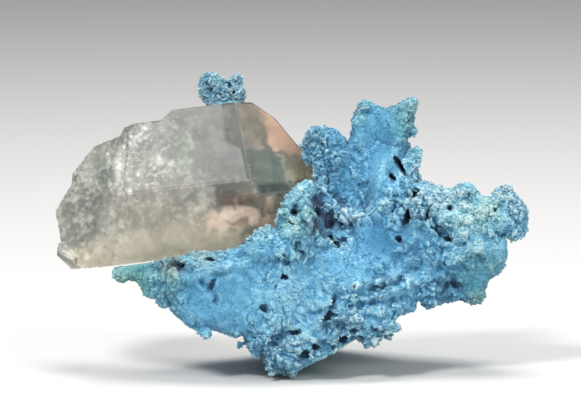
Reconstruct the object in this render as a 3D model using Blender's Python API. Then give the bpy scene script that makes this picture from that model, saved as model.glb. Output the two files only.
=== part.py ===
"""A sky-blue shattuckite crust with one big quartz crystal lying in it, standing on a small cut face.

Every place is given as the specimen is seen from its front: steps of STEP to the right and down, and
millimetres towards the viewer. The whole specimen then leans back by LEAN, and stands on z = 0.
"""

import math

import bmesh
import bpy
import numpy as np
from mathutils import Matrix, Vector

MM = 0.001
WIDTH = 94.6 * MM  # left tip of the crystal to the right end of the crust
WIDTH_STEPS = 473
STEP = WIDTH / WIDTH_STEPS  # one step of the front view
MIDDLE_ACROSS = 292.5  # the step that lies on x = 0
LOWEST_DOWN = 377.0  # the step of the lowest tip
LEAN = math.radians(7.0)
CENTRE_DEPTH = 20.0 * MM  # brings the middle of the depth onto y = 0
TIP_TOWARD = -3.0  # how far towards the viewer the lowest tip lies
GAP = 0.35 * MM  # between pieces that touch

# The crust

CRUST_OUTLINE = [
    (112, 275), (115, 266), (150, 259), (200, 252), (238, 247), (249, 240), (255, 231), (268, 226), (277, 226),
    (280, 212), (282, 202), (290, 195), (298, 184), (311, 188), (316, 178), (311, 160), (305, 152), (300, 146),
    (300, 140), (304, 138), (310, 130), (313, 127), (318, 125), (322, 128), (334, 127), (339, 129), (340, 132),
    (346, 138), (347, 142), (350, 135), (349, 122), (352, 110), (355, 107), (364, 102), (372, 105), (380, 107),
    (395, 105), (400, 101), (410, 96), (419, 101), (416, 115), (416, 126), (419, 131), (411, 135), (410, 147),
    (416, 150), (415, 163), (419, 167), (418, 178), (435, 183), (445, 187), (452, 190), (456, 187), (460, 184),
    (470, 187), (480, 195), (485, 197), (490, 196), (494, 190), (503, 187), (509, 193), (521, 201), (527, 208),
    (529, 214), (528, 220), (525, 230), (520, 236), (512, 239), (507, 236), (504, 238), (505, 245), (508, 252),
    (508, 260), (505, 268), (500, 274), (490, 280), (487, 287), (485, 296), (477, 305), (470, 304), (462, 301),
    (450, 301), (448, 304), (433, 307), (426, 307), (421, 301), (416, 301), (414, 311), (398, 316), (393, 322),
    (391, 330), (376, 333), (380, 340), (375, 347), (360, 348), (355, 345), (345, 350), (322, 361), (299, 374),
    (293, 377), (288, 377), (283, 373), (274, 373), (270, 370), (266, 362), (262, 356), (256, 358), (250, 350),
    (246, 346), (243, 336), (237, 338), (221, 332), (209, 327), (210, 334), (203, 337), (198, 329), (190, 326),
    (180, 319), (171, 310), (170, 305), (165, 307), (160, 304), (156, 297), (149, 298), (143, 288), (140, 282),
    (131, 281), (125, 284), (120, 282),
]

# Places where the depth of the crust is known: across and down, then its front and back (mm towards the
# viewer), and over how many mm the back rounds off towards the outline
CRUST_DEPTHS = [
    (125, 274, -3, -14, 12), (170, 290, 2, -22, 12), (215, 305, 4, -28, 12), (250, 340, 3, -37, 6),
    (290, 366, 1, -43, 3), (250, 275, 5, -30, 13), (290, 230, 5, -28, 13), (300, 195, 3, -26, 13),
    (325, 145, -11, -28, 10), (375, 120, -15, -26, 10), (408, 112, -9, -24, 10), (360, 175, -14, -30, 13),
    (350, 196, -13, -34, 13), (352, 215, -5, -36, 13), (345, 245, -3, -38, 13), (345, 290, 1, -42, 10),
    (315, 335, 3, -43, 5), (366, 335, 0, -38, 6), (400, 250, -1, -36, 13), (395, 300, 0, -34, 12),
    (440, 200, -5, -26, 12), (443, 232, -11, -28, 13), (430, 275, -4, -29, 12), (505, 212, -6, -22, 9),
    (478, 220, -5, -25, 10), (475, 280, -6, -25, 10), (500, 256, -5, -22, 9), (408, 165, -12, -26, 10),
    (395, 215, -8, -32, 13), (330, 180, -9, -32, 13),
]
DEPTH_REACH = 6.0  # mm: how far each of these places has a say
RIM_RADIUS = 0.75  # mm, of the beads that follow the outline
RIM_SPACING = 1.1
RIM_DEEP = (0.8, 4.5)  # mm, between which the beads reach back
RIM_BEHIND = 4.0  # mm from the front surface back to the outline
FRONT_ROUND = 5.0  # mm over which the front rounds off towards the outline
COLUMN_SPACING = 2.3  # mm between the grown-together columns
COLUMN_MOST = 4.6  # mm, their largest radius
COLUMN_LEAST = 0.5
COLUMN_SHARE = (0.5, 0.85)  # of the room to the outline that a column fills; lumps and beads fill the rest
COLUMN_UNEVEN = 3.5  # mm by which the columns' back ends differ
COLUMN_STRAY = 3.0  # mm by which a column's back end lies beside its front end
KEEL_ROUND = 7.0  # mm: where the back rounds off in less, the columns are whole and straight, and carry it all
LUMPS = 460  # on the sides and the back
LUMP_LEAST = 1.5  # mm, their radius
LUMP_MOST = 4.2

# Knobs: across, down, mm proud of the front around them, then radii across, up and toward in mm
CRUST_KNOBS = [
    (204, 330, -1.5, 1.5, 1.4, 1.8), (242, 344, -3.0, 1.0, 1.0, 1.2), (368, 337, 0.8, 2.3, 2.0, 2.6),
    (300, 342, 1.2, 2.8, 2.2, 2.0), (285, 352, 0.9, 2.4, 2.0, 2.0), (316, 350, 1.0, 2.2, 1.8, 1.8),
    (289, 226, 1.2, 2.2, 2.2, 1.8), (292, 205, 1.0, 2.2, 2.0, 2.0), (303, 194, 0.8, 2.2, 1.8, 2.2),
    (259, 240, 0.8, 2.2, 1.8, 1.6), (304, 222, 1.4, 1.6, 4.4, 1.8), (268, 250, 0.8, 3.0, 3.0, 1.8),
    (350, 322, 1.0, 2.6, 1.4, 1.8), (316, 302, 0.8, 3.2, 1.4, 1.6), (352, 216, 0.6, 3.8, 1.2, 2.0),
    (364, 107, 0.2, 1.6, 1.2, 2.4), (411, 103, -0.6, 1.6, 1.2, 3.0), (415, 130, -2.0, 0.9, 0.8, 1.4),
    (463, 194, 0.5, 2.6, 2.0, 2.6), (501, 197, 0.3, 2.4, 2.0, 2.6), (516, 212, 0.3, 2.4, 2.4, 2.6),
    (513, 227, -0.3, 2.4, 2.0, 2.6), (482, 210, 0.8, 2.6, 2.2, 2.4), (445, 207, 0.8, 3.6, 2.6, 2.4),
    (466, 229, 0.9, 3.0, 2.2, 2.4), (496, 250, 0.5, 2.2, 2.6, 2.2), (481, 247, 0.8, 2.4, 2.2, 2.2),
    (318, 138, 0.6, 2.8, 2.0, 2.4), (333, 142, 0.6, 2.4, 2.0, 2.4), (326, 158, 0.8, 3.6, 2.4, 2.4),
    (430, 302, -0.6, 2.4, 1.0, 2.4), (474, 296, -0.6, 2.0, 1.6, 2.2), (383, 325, 0.8, 2.8, 1.4, 2.4),
]

# Rods: the two ends as across, down and mm proud of the front around them, then the radius in mm
CRUST_RODS = [
    ((403, 178, 1.5), (411, 153, 0.0), 1.0), ((409, 186, 1.5), (414, 168, 0.0), 0.9),
    ((401, 182, 1.4), (431, 222, 1.0), 1.5), ((413, 103, -0.5), (402, 140, 1.4), 1.7),
    ((402, 140, 1.4), (380, 172, 1.8), 1.4), ((382, 172, 1.8), (372, 208, 1.6), 1.3),
    ((355, 108, 0.2), (353, 140, 0.8), 1.0), ((333, 160, 1.2), (347, 149, 1.0), 1.2),
    ((311, 190, 0.6), (331, 232, 1.4), 1.4), ((331, 232, 1.4), (330, 252, 1.0), 1.3),
    ((356, 282, 0.5), (384, 281, 0.6), 1.1), ((384, 281, 0.6), (405, 266, 0.5), 1.1),
    ((405, 266, 0.5), (430, 251, 0.6), 1.1), ((352, 262, 0.5), (384, 262, 0.4), 1.0),
    ((384, 262, 0.4), (402, 244, 0.5), 1.0), ((358, 316, 0.5), (412, 304, 0.4), 1.1),
    ((130, 273, 0.3), (168, 276, 0.6), 1.2), ((168, 276, 0.6), (230, 264, 0.5), 1.2),
    ((452, 262, 0.8), (476, 252, 1.0), 1.1), ((476, 252, 1.0), (490, 266, 0.8), 1.1),
]

# Pits and open crevices: across, down, mm proud, radii across, up and toward in mm, and a turn in the view
CRUST_PITS = [
    (285, 275, 1, 0.8, 1.0, 3.4, 0), (264, 310, 1, 0.7, 0.9, 3.0, 30), (256, 336, 1, 1.0, 0.9, 2.8, 0),
    (290, 226, 2, 0.8, 0.8, 3.6, 0), (296, 215, 2, 0.8, 0.9, 3.4, 0), (285, 257, 1, 1.6, 1.4, 2.0, 0),
    (212, 292, 1, 0.8, 2.0, 2.4, -25), (335, 243, 1, 1.0, 2.2, 4.5, 15), (337, 297, 1, 0.9, 2.0, 2.6, 0),
    (405, 216, 1, 0.7, 2.2, 4.5, -12), (397, 238, 1, 1.0, 1.0, 3.0, 0), (427, 216, 2, 0.7, 1.5, 4.0, -10),
    (443, 232, 2, 3.2, 0.9, 4.5, 35), (399, 166, 1, 0.9, 2.6, 5.0, 40), (333, 188, 1, 1.6, 1.5, 3.4, 0),
    (366, 202, 1, 0.9, 1.6, 3.0, 0), (318, 212, 1, 1.2, 0.9, 3.0, 0), (299, 352, 1, 1.8, 0.7, 2.6, -10),
    (344, 340, 1, 1.2, 1.0, 3.0, 0), (357, 341, 2, 0.8, 0.8, 2.4, 0), (414, 196, 1, 0.7, 1.2, 2.6, 0),
    (175, 264, 1, 2.2, 1.1, 4.5, 0), (154, 267, 1, 1.2, 0.8, 3.4, 0), (209, 259, 1, 1.9, 0.5, 3.4, 0),
]
FACET_FRONT_EDGE = ((300, 368.5), (352, 341))  # the smooth straight face under the right of the lowest tip
FACET_SPIN = math.radians(-5.5)  # it looks a little towards the viewer

# The tuft: knobs as above
TUFT_KNOBS = [
    (224, 103, -18, 3.6, 2.4, 3.2), (216, 97, -18, 2.6, 2.4, 2.8), (234, 97, -18, 2.2, 2.6, 2.8),
    (207, 90, -18, 1.8, 1.8, 2.2), (206, 80, -18, 1.7, 1.6, 2.0), (211, 77, -17.5, 1.6, 1.4, 2.0),
    (217, 84, -17, 1.8, 2.0, 2.4), (224, 90, -17, 2.4, 2.0, 2.6), (237, 88, -17.5, 1.5, 2.6, 2.0),
    (237, 78, -17.5, 1.3, 1.4, 1.8), (204, 85, -19, 1.2, 1.4, 1.8), (240, 95, -18.5, 1.0, 1.6, 1.8),
]

# The crystal

CRYSTAL_CENTRE = (180, 182, -14.0)  # across, down, toward
CRYSTAL_BACK = -24.0  # toward, where its back edge lies
CRYSTAL_RISE = math.radians(7.0)  # its long axis climbs to the right
CRYSTAL_SWING = math.radians(-6.3)  # and its point swings away from the viewer
PRISM_TURN = 36.5  # degrees from the viewer up to the upper front face of the prism
RHOMB_SLOPE = math.radians(51.8)  # of the end faces against a cut square to the long axis, as in all quartz
# Distance of each face from the centre in mm, by its turn in degrees from the first one. The face of the
# prism at the underside grew a little askew.
PRISM_REACH = {0: 11.8, -60: 14.65, 60: 13.95, 120: 13.0, 180: 10.0, -127.5: 14.79}
RHOMB_REACH = {0: 16.94, -60: 19.95, 60: 21.0, 120: 16.8, 180: 16.1, -120: 20.5}
CUBE = 140 * MM


def view_point(across, down, toward):
    """A point of the front view, in metres, before the specimen leans back."""
    return Vector(((across - MIDDLE_ACROSS) * STEP, -toward * MM, (LOWEST_DOWN - down) * STEP))


def material(name, colour, roughness, transmission=0.0):
    made = bpy.data.materials.new(name)
    made.use_nodes = True
    shader = made.node_tree.nodes["Principled BSDF"]
    shader.inputs["Base Color"].default_value = (*colour, 1)
    shader.inputs["Roughness"].default_value = roughness
    shader.inputs["Transmission Weight"].default_value = transmission
    return made


def new_object(name, form, look=None, helper=False):
    """Puts a bmesh into the scene. A helper only cuts others, and isn't part of the specimen."""
    mesh = bpy.data.meshes.new(name)
    form.to_mesh(mesh)
    form.free()
    obj = bpy.data.objects.new(name, mesh)
    bpy.context.scene.collection.objects.link(obj)
    if look:
        mesh.materials.append(look)
    obj.hide_render = helper
    if helper:
        obj.display_type = "WIRE"
    return obj


def add_modifier(obj, name, kind, **settings):
    modifier = obj.modifiers.new(name, kind)
    for key, value in settings.items():
        setattr(modifier, key, value)
    return modifier


def cut(obj, cutter):
    add_modifier(obj, "cut " + cutter.name, "BOOLEAN", operation="DIFFERENCE", solver="EXACT", object=cutter)


def join(obj, other):
    add_modifier(obj, "join " + other.name, "BOOLEAN", operation="UNION", solver="EXACT", object=other)


# The crystal's faces

def crystal_axes():
    """The crystal's long axis, its upward axis and its axis towards the viewer, as unit vectors."""
    lift = Matrix.Rotation(-CRYSTAL_RISE, 3, "Y")
    swing = Matrix.Rotation(-CRYSTAL_SWING, 3, "Z")
    turn = lift @ swing
    return turn @ Vector((1, 0, 0)), turn @ Vector((0, 0, 1)), turn @ Vector((0, -1, 0))


def ring_direction(turn):
    """The direction square to the long axis, at a turn in degrees from the upper front face."""
    _, up, toward = crystal_axes()
    angle = math.radians(PRISM_TURN + turn)
    return math.cos(angle) * toward + math.sin(angle) * up


def prism_faces(reach=PRISM_REACH):
    return [(ring_direction(turn), distance) for turn, distance in reach.items()]


def rhomb_faces():
    along, _, _ = crystal_axes()
    lean = math.cos(RHOMB_SLOPE) * along
    return [(lean + math.sin(RHOMB_SLOPE) * ring_direction(turn), d) for turn, d in RHOMB_REACH.items()]


def through(normal, across, down, toward=CRYSTAL_CENTRE[2]):
    """A face through a point of the front view. Its normal is (right, up, towards the viewer)."""
    direction = Vector((normal[0], -normal[2], normal[1])).normalized()
    offset = view_point(across, down, toward) - view_point(*CRYSTAL_CENTRE)
    return direction, direction.dot(offset) / MM


def opposite(face):
    return -face[0], -face[1]


def convex_form(faces, grow=0.0):
    """A big cube cut by each face in turn, which leaves the convex body between them."""
    centre = view_point(*CRYSTAL_CENTRE)
    form = bmesh.new()
    bmesh.ops.create_cube(form, size=CUBE, matrix=Matrix.Translation(centre))
    for direction, distance in faces:
        place = centre + direction * (distance * MM + grow)
        everything = form.verts[:] + form.edges[:] + form.faces[:]
        result = bmesh.ops.bisect_plane(
            form, geom=everything, dist=1e-7, plane_co=place, plane_no=direction, clear_outer=True
        )
        rim = [item for item in result["geom_cut"] if isinstance(item, bmesh.types.BMEdge)]
        if rim:
            bmesh.ops.contextual_create(form, geom=rim)
    bmesh.ops.recalc_face_normals(form, faces=form.faces)
    return form


def build_crystal(look):
    """The prism and its point, then the steps and breaks of its left end."""
    upper_left = through((-0.81, 0.585, 0.30), 79, 159, CRYSTAL_BACK)
    left_ends = [through((-1, 0.2, 0.55), 65, 214, -17), through((-1, -0.12, 0.38), 60, 240, -15)]
    lower_left = through((-0.67, -0.74, 0.15), 63, 259, -16)
    crystal = new_object(
        "quartz_crystal", convex_form(prism_faces() + rhomb_faces() + left_ends + [lower_left]), look
    )
    upper = ring_direction(60)
    first_step = through((-1, 1.05, 0.0), 166, 116)
    second_step = through((-1, 0.2, 0.1), 122, 134)
    end_of_block = through((-1, 0.12, 0.12), 117, 195)
    left_recess = through((-1, 0, 0.25), 69.5, 183, CRYSTAL_BACK)
    lower_shoulder = through((-0.84, 0.54, 0.1), 63, 197, -20)
    cutters = {
        "first step": [first_step, (upper, 12.0)],
        "second step": [second_step, (upper, 10.5)],
        "upper break": [upper_left],
        "front recess": [end_of_block, (ring_direction(0), 10.9)],
        "lower recess": [end_of_block, (ring_direction(-60), 13.7)],
        "left notch": [left_recess, lower_shoulder],
    }
    for name, faces in cutters.items():
        cut(crystal, new_object(name, convex_form([opposite(face) for face in faces]), helper=True))
    chip_faces = [
        through((-1.0, 0.1, 0.1), 57.5, 248), through((-0.7, 0.8, 0.2), 60, 243),
        through((0.9, 0.1, 0.3), 87, 258), through((-0.7, -0.72, 0.2), 63, 260),
        through((0.2, 1.0, 0.3), 74, 248), through((0.1, -1.0, 0.1), 75, 268.5),
        through((-0.25, 0.3, 1.0), 72, 257, -5.0), through((0.0, 0.0, -1.0), 75, 258, -16),
    ]
    join(crystal, new_object("chip", convex_form(chip_faces), helper=True))
    return crystal


# The crust's form

def outline_distance(points):
    """For points of the front view in mm, the distance to the outline, positive inside it."""
    corners = np.array(CRUST_OUTLINE, float) * (STEP / MM)
    ends = np.roll(corners, -1, axis=0)
    runs = ends - corners
    offsets = points[:, None] - corners[None]
    share = np.clip((offsets * runs).sum(-1) / (runs * runs).sum(-1), 0, 1)
    nearest = np.linalg.norm(offsets - share[..., None] * runs, axis=-1).min(1)
    crosses = (corners[:, 1] > points[:, None, 1]) != (ends[:, 1] > points[:, None, 1])
    rise = np.where(runs[:, 1] == 0, 1, runs[:, 1])
    side = corners[:, 0] + (points[:, None, 1] - corners[:, 1]) * runs[:, 0] / rise
    inside = (crosses & (points[:, None, 0] < side)).sum(1) % 2 == 1
    return np.where(inside, nearest, -nearest)


def crust_depths(points):
    """The crust's front, back and back rounding at points in mm, eased between the known places."""
    known = np.array(CRUST_DEPTHS, float)
    places = known[:, :2] * (STEP / MM)
    gaps = np.linalg.norm(points[:, None] - places[None], axis=-1)
    weights = np.exp(-0.5 * (gaps / DEPTH_REACH) ** 2) + 1e-9
    return (weights @ known[:, 2:]) / weights.sum(1, keepdims=True)


def rounding(distance, reach):
    """A quarter circle: 0 at the outline, 1 from reach inwards."""
    return np.sqrt(1 - (1 - np.clip(distance / reach, 0, 1)) ** 2)


def above_front(across, down, proud):
    """A point the given number of mm proud of the crust's front around it."""
    place = np.array([[across, down]]) * (STEP / MM)
    return view_point(across, down, crust_depths(place)[0, 0] + proud)


def outline_beads():
    """Places every RIM_SPACING along the outline, set inwards by the beads' radius, in mm."""
    corners = np.array(CRUST_OUTLINE, float) * (STEP / MM)
    runs = np.roll(corners, -1, axis=0) - corners
    lengths = np.linalg.norm(runs, axis=1)
    inwards = np.stack([-runs[:, 1], runs[:, 0]], 1) / lengths[:, None]
    beads = [
        corner + run * share + inward * RIM_RADIUS
        for corner, run, length, inward in zip(corners, runs, lengths, inwards)
        for share in np.arange(0.5, max(round(length / RIM_SPACING), 1)) / max(round(length / RIM_SPACING), 1)
    ]
    beads = np.array(beads)
    return beads[outline_distance(beads) > RIM_RADIUS * 0.6]


def add_ball(form, centre, radii, detail=2, turn=0.0):
    spin = Matrix.Rotation(math.radians(turn), 4, "Y")
    sizes = Matrix.Diagonal((radii[0] * MM, radii[2] * MM, radii[1] * MM, 1))
    shape = Matrix.Translation(centre) @ spin @ sizes
    bmesh.ops.create_icosphere(form, subdivisions=detail, radius=1, matrix=shape)


def add_capsule(form, start, end, radius, detail=2):
    """A ball drawn out from one point to another."""
    run = end - start
    facing = Vector((0, 0, 1)).rotation_difference(run).to_matrix().to_4x4()
    ball = bmesh.ops.create_icosphere(form, subdivisions=detail, radius=radius * MM)
    for vertex in ball["verts"]:
        high = vertex.co.z > 0
        vertex.co = facing @ vertex.co + (end if high else start)


def add_lumps(form, low, high):
    """Balls that just touch the outline or the back, at depths from the front's rim to the back."""
    random = np.random.default_rng(10)
    points = random.uniform(low, high, (LUMPS * 8, 2))
    reach = outline_distance(points)
    kept = (reach > LUMP_LEAST) & (reach < COLUMN_MOST)
    points, reach = points[kept][:LUMPS], reach[kept][:LUMPS]
    depths = crust_depths(points)
    rim = depths[:, 0] - RIM_BEHIND
    back = rim + (depths[:, 1] - rim) * rounding(reach, depths[:, 2])
    radii = np.minimum(reach, random.uniform(LUMP_LEAST, LUMP_MOST, len(points)))
    share = random.random(len(points))
    for (x, y), radius, near, far, along in zip(points * (MM / STEP), radii, rim, back, share):
        toward = far + radius + max(near - far - 2 * radius, 0) * along
        add_ball(form, view_point(x, y, toward), (radius, radius, radius))


def crust_form():
    """Columns that fill the outline from front to back, with the knobs and rods, all overlapping."""
    form = bmesh.new()
    corners = np.array(CRUST_OUTLINE, float) * (STEP / MM)
    low, high = corners.min(0), corners.max(0)
    across, down = np.meshgrid(
        np.arange(low[0], high[0], COLUMN_SPACING), np.arange(low[1], high[1], COLUMN_SPACING)
    )
    across[1::2] += COLUMN_SPACING / 2
    points = np.stack([across.ravel(), down.ravel()], 1)
    points += np.random.default_rng(7).uniform(-0.5, 0.5, points.shape)
    reach = outline_distance(points)
    points, reach = points[reach > COLUMN_LEAST], reach[reach > COLUMN_LEAST]
    depths = crust_depths(points)
    rim = depths[:, 0] - RIM_BEHIND
    front = rim + RIM_BEHIND * rounding(reach, FRONT_ROUND)
    back = rim + (depths[:, 1] - rim) * rounding(reach, depths[:, 2])
    random = np.random.default_rng(8)
    loose = np.clip(depths[:, 2] / KEEL_ROUND - 1, 0, 1)
    strayed = points + random.uniform(-COLUMN_STRAY, COLUMN_STRAY, points.shape) * loose[:, None]
    room = np.minimum(outline_distance(strayed), reach)
    strayed = np.where(room[:, None] > COLUMN_LEAST, strayed, points)
    room = np.where(room > COLUMN_LEAST, room, reach)
    fill = 1 - loose * (1 - random.uniform(*COLUMN_SHARE, len(points)))
    radii = np.clip(room * fill, COLUMN_LEAST, COLUMN_MOST)
    radii = np.minimum(radii, np.maximum((front - back) / 2, COLUMN_LEAST))
    starts = np.minimum(back + radii + random.uniform(0, COLUMN_UNEVEN, len(points)), front - radii)
    for end, start, near, far, radius in zip(points, strayed, front, starts, radii):
        tip = view_point(*end * (MM / STEP), near - radius + 0.01)
        add_capsule(form, view_point(*start * (MM / STEP), far), tip, radius)
    beads = outline_beads()
    deep = np.random.default_rng(9).uniform(*RIM_DEEP, len(beads))
    for (x, y), (near, _, _), behind in zip(beads * (MM / STEP), crust_depths(beads), deep):
        middle = near - RIM_BEHIND
        add_capsule(form, view_point(x, y, middle - behind), view_point(x, y, middle + 0.3), RIM_RADIUS)
    add_lumps(form, low, high)
    for across, down, proud, *radii in CRUST_KNOBS:
        add_ball(form, above_front(across, down, proud - radii[2]), radii)
    for start, end, radius in CRUST_RODS:
        first = above_front(*start[:2], start[2] - radius)
        last = above_front(*end[:2], end[2] - radius)
        add_capsule(form, first, last, radius)
    return form


def pits_form():
    form = bmesh.new()
    for across, down, proud, *radii, turn in CRUST_PITS:
        add_ball(form, above_front(across, down, proud), radii, 2, turn)
    return form


def facet_cutter():
    """A block whose upper side is the smooth face under the lowest tip's right side."""
    left, right = (view_point(*end, 0) for end in FACET_FRONT_EDGE)
    slope = math.atan2(right.z - left.z, right.x - left.x)
    form = bmesh.new()
    size = Vector(((right - left).length + 3 * MM, 120 * MM, 12 * MM))
    turn = Matrix.Rotation(-slope, 4, "Y") @ Matrix.Rotation(FACET_SPIN, 4, "X")
    place = Matrix.Translation((left + right) / 2) @ turn @ Matrix.Translation((0, 0, -size.z / 2))
    bmesh.ops.create_cube(form, size=1, matrix=place @ Matrix.Diagonal((*size, 1)))
    return new_object("facet", form, helper=True)


def floor_cutter():
    """Everything below z = 0, where the specimen is cut flat to stand."""
    form = bmesh.new()
    size = 200 * MM
    bmesh.ops.create_cube(form, size=size, matrix=Matrix.Translation((0, 0, -size / 2)))
    return new_object("floor", form, helper=True)


def grow_together(obj, voxel, triangles, smoothing):
    """Turns overlapping forms into one skin, evens it and leaves about the given number of triangles."""
    add_modifier(obj, "skin", "REMESH", mode="VOXEL", voxel_size=voxel)
    add_modifier(obj, "even", "SMOOTH", iterations=smoothing, factor=0.5)
    graph = bpy.context.evaluated_depsgraph_get()
    skin = obj.evaluated_get(graph).to_mesh()
    skin.calc_loop_triangles()
    share = triangles / len(skin.loop_triangles)
    add_modifier(obj, "thin out", "DECIMATE", ratio=min(share, 1), use_collapse_triangulate=True)


def main():
    for obj in list(bpy.data.objects):
        bpy.data.objects.remove(obj)
    blue = material("shattuckite, sky-blue fibrous crust", (0.16, 0.44, 0.66), 0.85)
    pale = material("shattuckite, pale tuft", (0.33, 0.66, 0.72), 0.85)
    quartz = material("quartz, clear with veils", (0.80, 0.78, 0.72), 0.05, 0.8)

    specimen = bpy.data.objects.new("specimen", None)
    bpy.context.scene.collection.objects.link(specimen)
    specimen.rotation_euler.x = -LEAN
    specimen.location = (0, -CENTRE_DEPTH, -TIP_TOWARD * MM * math.sin(LEAN))

    crystal = build_crystal(quartz)
    socket = new_object("socket", convex_form(prism_faces() + rhomb_faces(), GAP), helper=True)
    matrix = new_object("shattuckite_matrix", crust_form(), blue)
    tuft_form = bmesh.new()
    for across, down, toward, *radii in TUFT_KNOBS:
        add_ball(tuft_form, view_point(across, down, toward), radii)
    tuft = new_object("shattuckite_tuft", tuft_form, pale)
    pits = new_object("pits", pits_form(), helper=True)
    facet = facet_cutter()
    floor = floor_cutter()

    for obj in bpy.data.objects:
        if obj not in (specimen, floor):
            obj.parent = specimen
    bpy.context.view_layer.update()

    grow_together(matrix, 0.6 * MM, 6700, 2)
    grow_together(tuft, 0.5 * MM, 700, 2)
    for cutter in (facet, socket, pits, floor):
        cut(matrix, cutter)
    cut(tuft, socket)


main()
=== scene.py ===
import math

import bmesh
import bpy
import numpy as np
from mathutils import Matrix, Vector


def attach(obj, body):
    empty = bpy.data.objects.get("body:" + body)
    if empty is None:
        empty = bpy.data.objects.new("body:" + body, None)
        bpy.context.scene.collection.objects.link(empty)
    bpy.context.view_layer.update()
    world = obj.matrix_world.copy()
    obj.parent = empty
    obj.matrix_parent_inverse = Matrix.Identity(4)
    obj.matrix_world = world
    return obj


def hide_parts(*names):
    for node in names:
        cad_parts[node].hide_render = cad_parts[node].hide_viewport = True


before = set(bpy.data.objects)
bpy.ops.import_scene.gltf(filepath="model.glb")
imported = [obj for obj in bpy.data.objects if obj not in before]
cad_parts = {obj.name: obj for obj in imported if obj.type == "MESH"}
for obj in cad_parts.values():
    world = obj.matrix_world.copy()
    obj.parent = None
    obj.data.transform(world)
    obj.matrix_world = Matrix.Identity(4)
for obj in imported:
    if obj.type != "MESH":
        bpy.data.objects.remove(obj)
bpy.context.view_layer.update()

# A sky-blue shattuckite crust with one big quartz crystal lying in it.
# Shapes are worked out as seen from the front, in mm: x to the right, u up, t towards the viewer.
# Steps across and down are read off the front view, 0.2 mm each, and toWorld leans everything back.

view = {
    "step": 0.2,  # mm
    "middleAcross": 292.5,  # where x is 0
    "lowestDown": 377.0,  # where u is 0, at the lowest tip
    "lean": math.radians(7.0),  # the front is seen from this far above
    "centreDepth": 20.0,  # mm from the front view's t = 0 back to the world's middle
    "tipToward": -3.0,  # mm, t of the lowest tip, which stands on the floor
}
gap = 0.35  # mm between the crust and the crystal


def frontPlace(across, down):  # steps of the front view as x and u in mm
    return (across - view["middleAcross"]) * view["step"], (view["lowestDown"] - down) * view["step"]


def viewPoint(across, down, toward):
    return np.array([*frontPlace(across, down), toward], float)


def toWorld(points):  # x, u, t in mm, turned by the lean about the x axis, in metres
    c, s = math.cos(view["lean"]), math.sin(view["lean"])
    x, u, t = points[:, 0], points[:, 1], points[:, 2]
    y = -t * c + u * s - view["centreDepth"]
    z = u * c + t * s - view["tipToward"] * s
    return np.stack([x, y, z], 1) * 0.001


def toView(points):  # the way back, from metres to x, u, t in mm
    c, s = math.cos(view["lean"]), math.sin(view["lean"])
    x, y, z = points[:, 0] * 1000, points[:, 1] * 1000 + view["centreDepth"], points[:, 2] * 1000
    z = z + view["tipToward"] * s
    return np.stack([x, y * s + z * c, -y * c + z * s], 1)


def linearColour(hexText, alpha=1.0):  # an sRGB hex colour as the linear values that a shader takes
    parts = [int(hexText[i:i + 2], 16) / 255 for i in (1, 3, 5)]
    return [p / 12.92 if p <= 0.04045 else ((p + 0.055) / 1.055) ** 2.4 for p in parts] + [alpha]


# One node with its settings, its links or values by input, and a colour ramp's stops.
def addNode(tree, kind, links=None, stops=None, **settings):
    node = tree.nodes.new("ShaderNode" + kind)
    for name, value in settings.items():
        setattr(node, name, value)
    for key, value in (links or {}).items():
        if isinstance(value, bpy.types.NodeSocket):
            tree.links.new(value, node.inputs[key])
        else:
            node.inputs[key].default_value = value
    for i, (place, colour) in enumerate(stops or []):
        stop = node.color_ramp.elements[i] if i < 2 else node.color_ramp.elements.new(place)
        stop.position, stop.color = place, linearColour(colour)
    return node


def newMaterial(name):
    made = bpy.data.materials.new(name)
    made.use_nodes = True
    return made, made.node_tree, made.node_tree.nodes["Principled BSDF"]


def addObject(name, data):
    made = bpy.data.objects.new(name, data)
    bpy.context.scene.collection.objects.link(made)
    return made


def newPiece(name, points, faces, look, attributes):  # a mesh object from x, u, t points in mm
    mesh = bpy.data.meshes.new(name)
    mesh.vertices.add(len(points))
    mesh.vertices.foreach_set("co", toWorld(points).astype(np.float32).ravel())
    sides = faces.shape[1]
    mesh.loops.add(faces.size)
    mesh.loops.foreach_set("vertex_index", faces.astype(np.int32).ravel())
    mesh.polygons.add(len(faces))
    mesh.polygons.foreach_set("loop_start", np.arange(0, faces.size, sides, dtype=np.int32))
    mesh.update(calc_edges=True)
    mesh.validate()
    mesh.polygons.foreach_set("use_smooth", np.ones(len(mesh.polygons), bool))
    for key, values in attributes.items():
        mesh.attributes.new(key, "FLOAT", "POINT").data.foreach_set("value", values.astype(np.float32))
    mesh.materials.append(look)
    return addObject(name, mesh)


def paintPoints(mesh, name, colours):  # a linear colour at each point, as an attribute
    values = np.concatenate([colours, np.ones((len(colours), 1))], 1).astype(np.float32)
    mesh.attributes.new(name, "FLOAT_COLOR", "POINT").data.foreach_set("color", values.ravel())


# Noise and skins, on whole arrays

# Smooth noise on a grid: random numbers every spacing mm, carried to the grid's places by a cubic
# B-spline along each axis in turn.
def gridNoise(axes, spacing, seed):
    counts = [int((a[-1] - a[0]) / spacing) + 5 for a in axes]
    values = np.random.default_rng(seed).uniform(-1, 1, counts)
    for i, places in enumerate(axes):
        share = (places - places[0]) / spacing
        base = share.astype(int)
        f = share - base
        weights = np.zeros((len(places), counts[i]))
        rows = np.arange(len(places))
        parts = [(1 - f) ** 3, 3 * f ** 3 - 6 * f ** 2 + 4, -3 * f ** 3 + 3 * f ** 2 + 3 * f + 1, f ** 3]
        for k, part in enumerate(parts):
            weights[rows, base + k] = part / 6
        values = np.moveaxis(np.tensordot(weights, values, axes=(1, i)), 0, i)
    return values * 2.0


def noiseSum(axes, parts, shift=0):  # the sum of height times noise, over parts of height, spacing and seed
    return sum(height * gridNoise(axes, spacing, seed + shift) for height, spacing, seed in parts)


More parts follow.
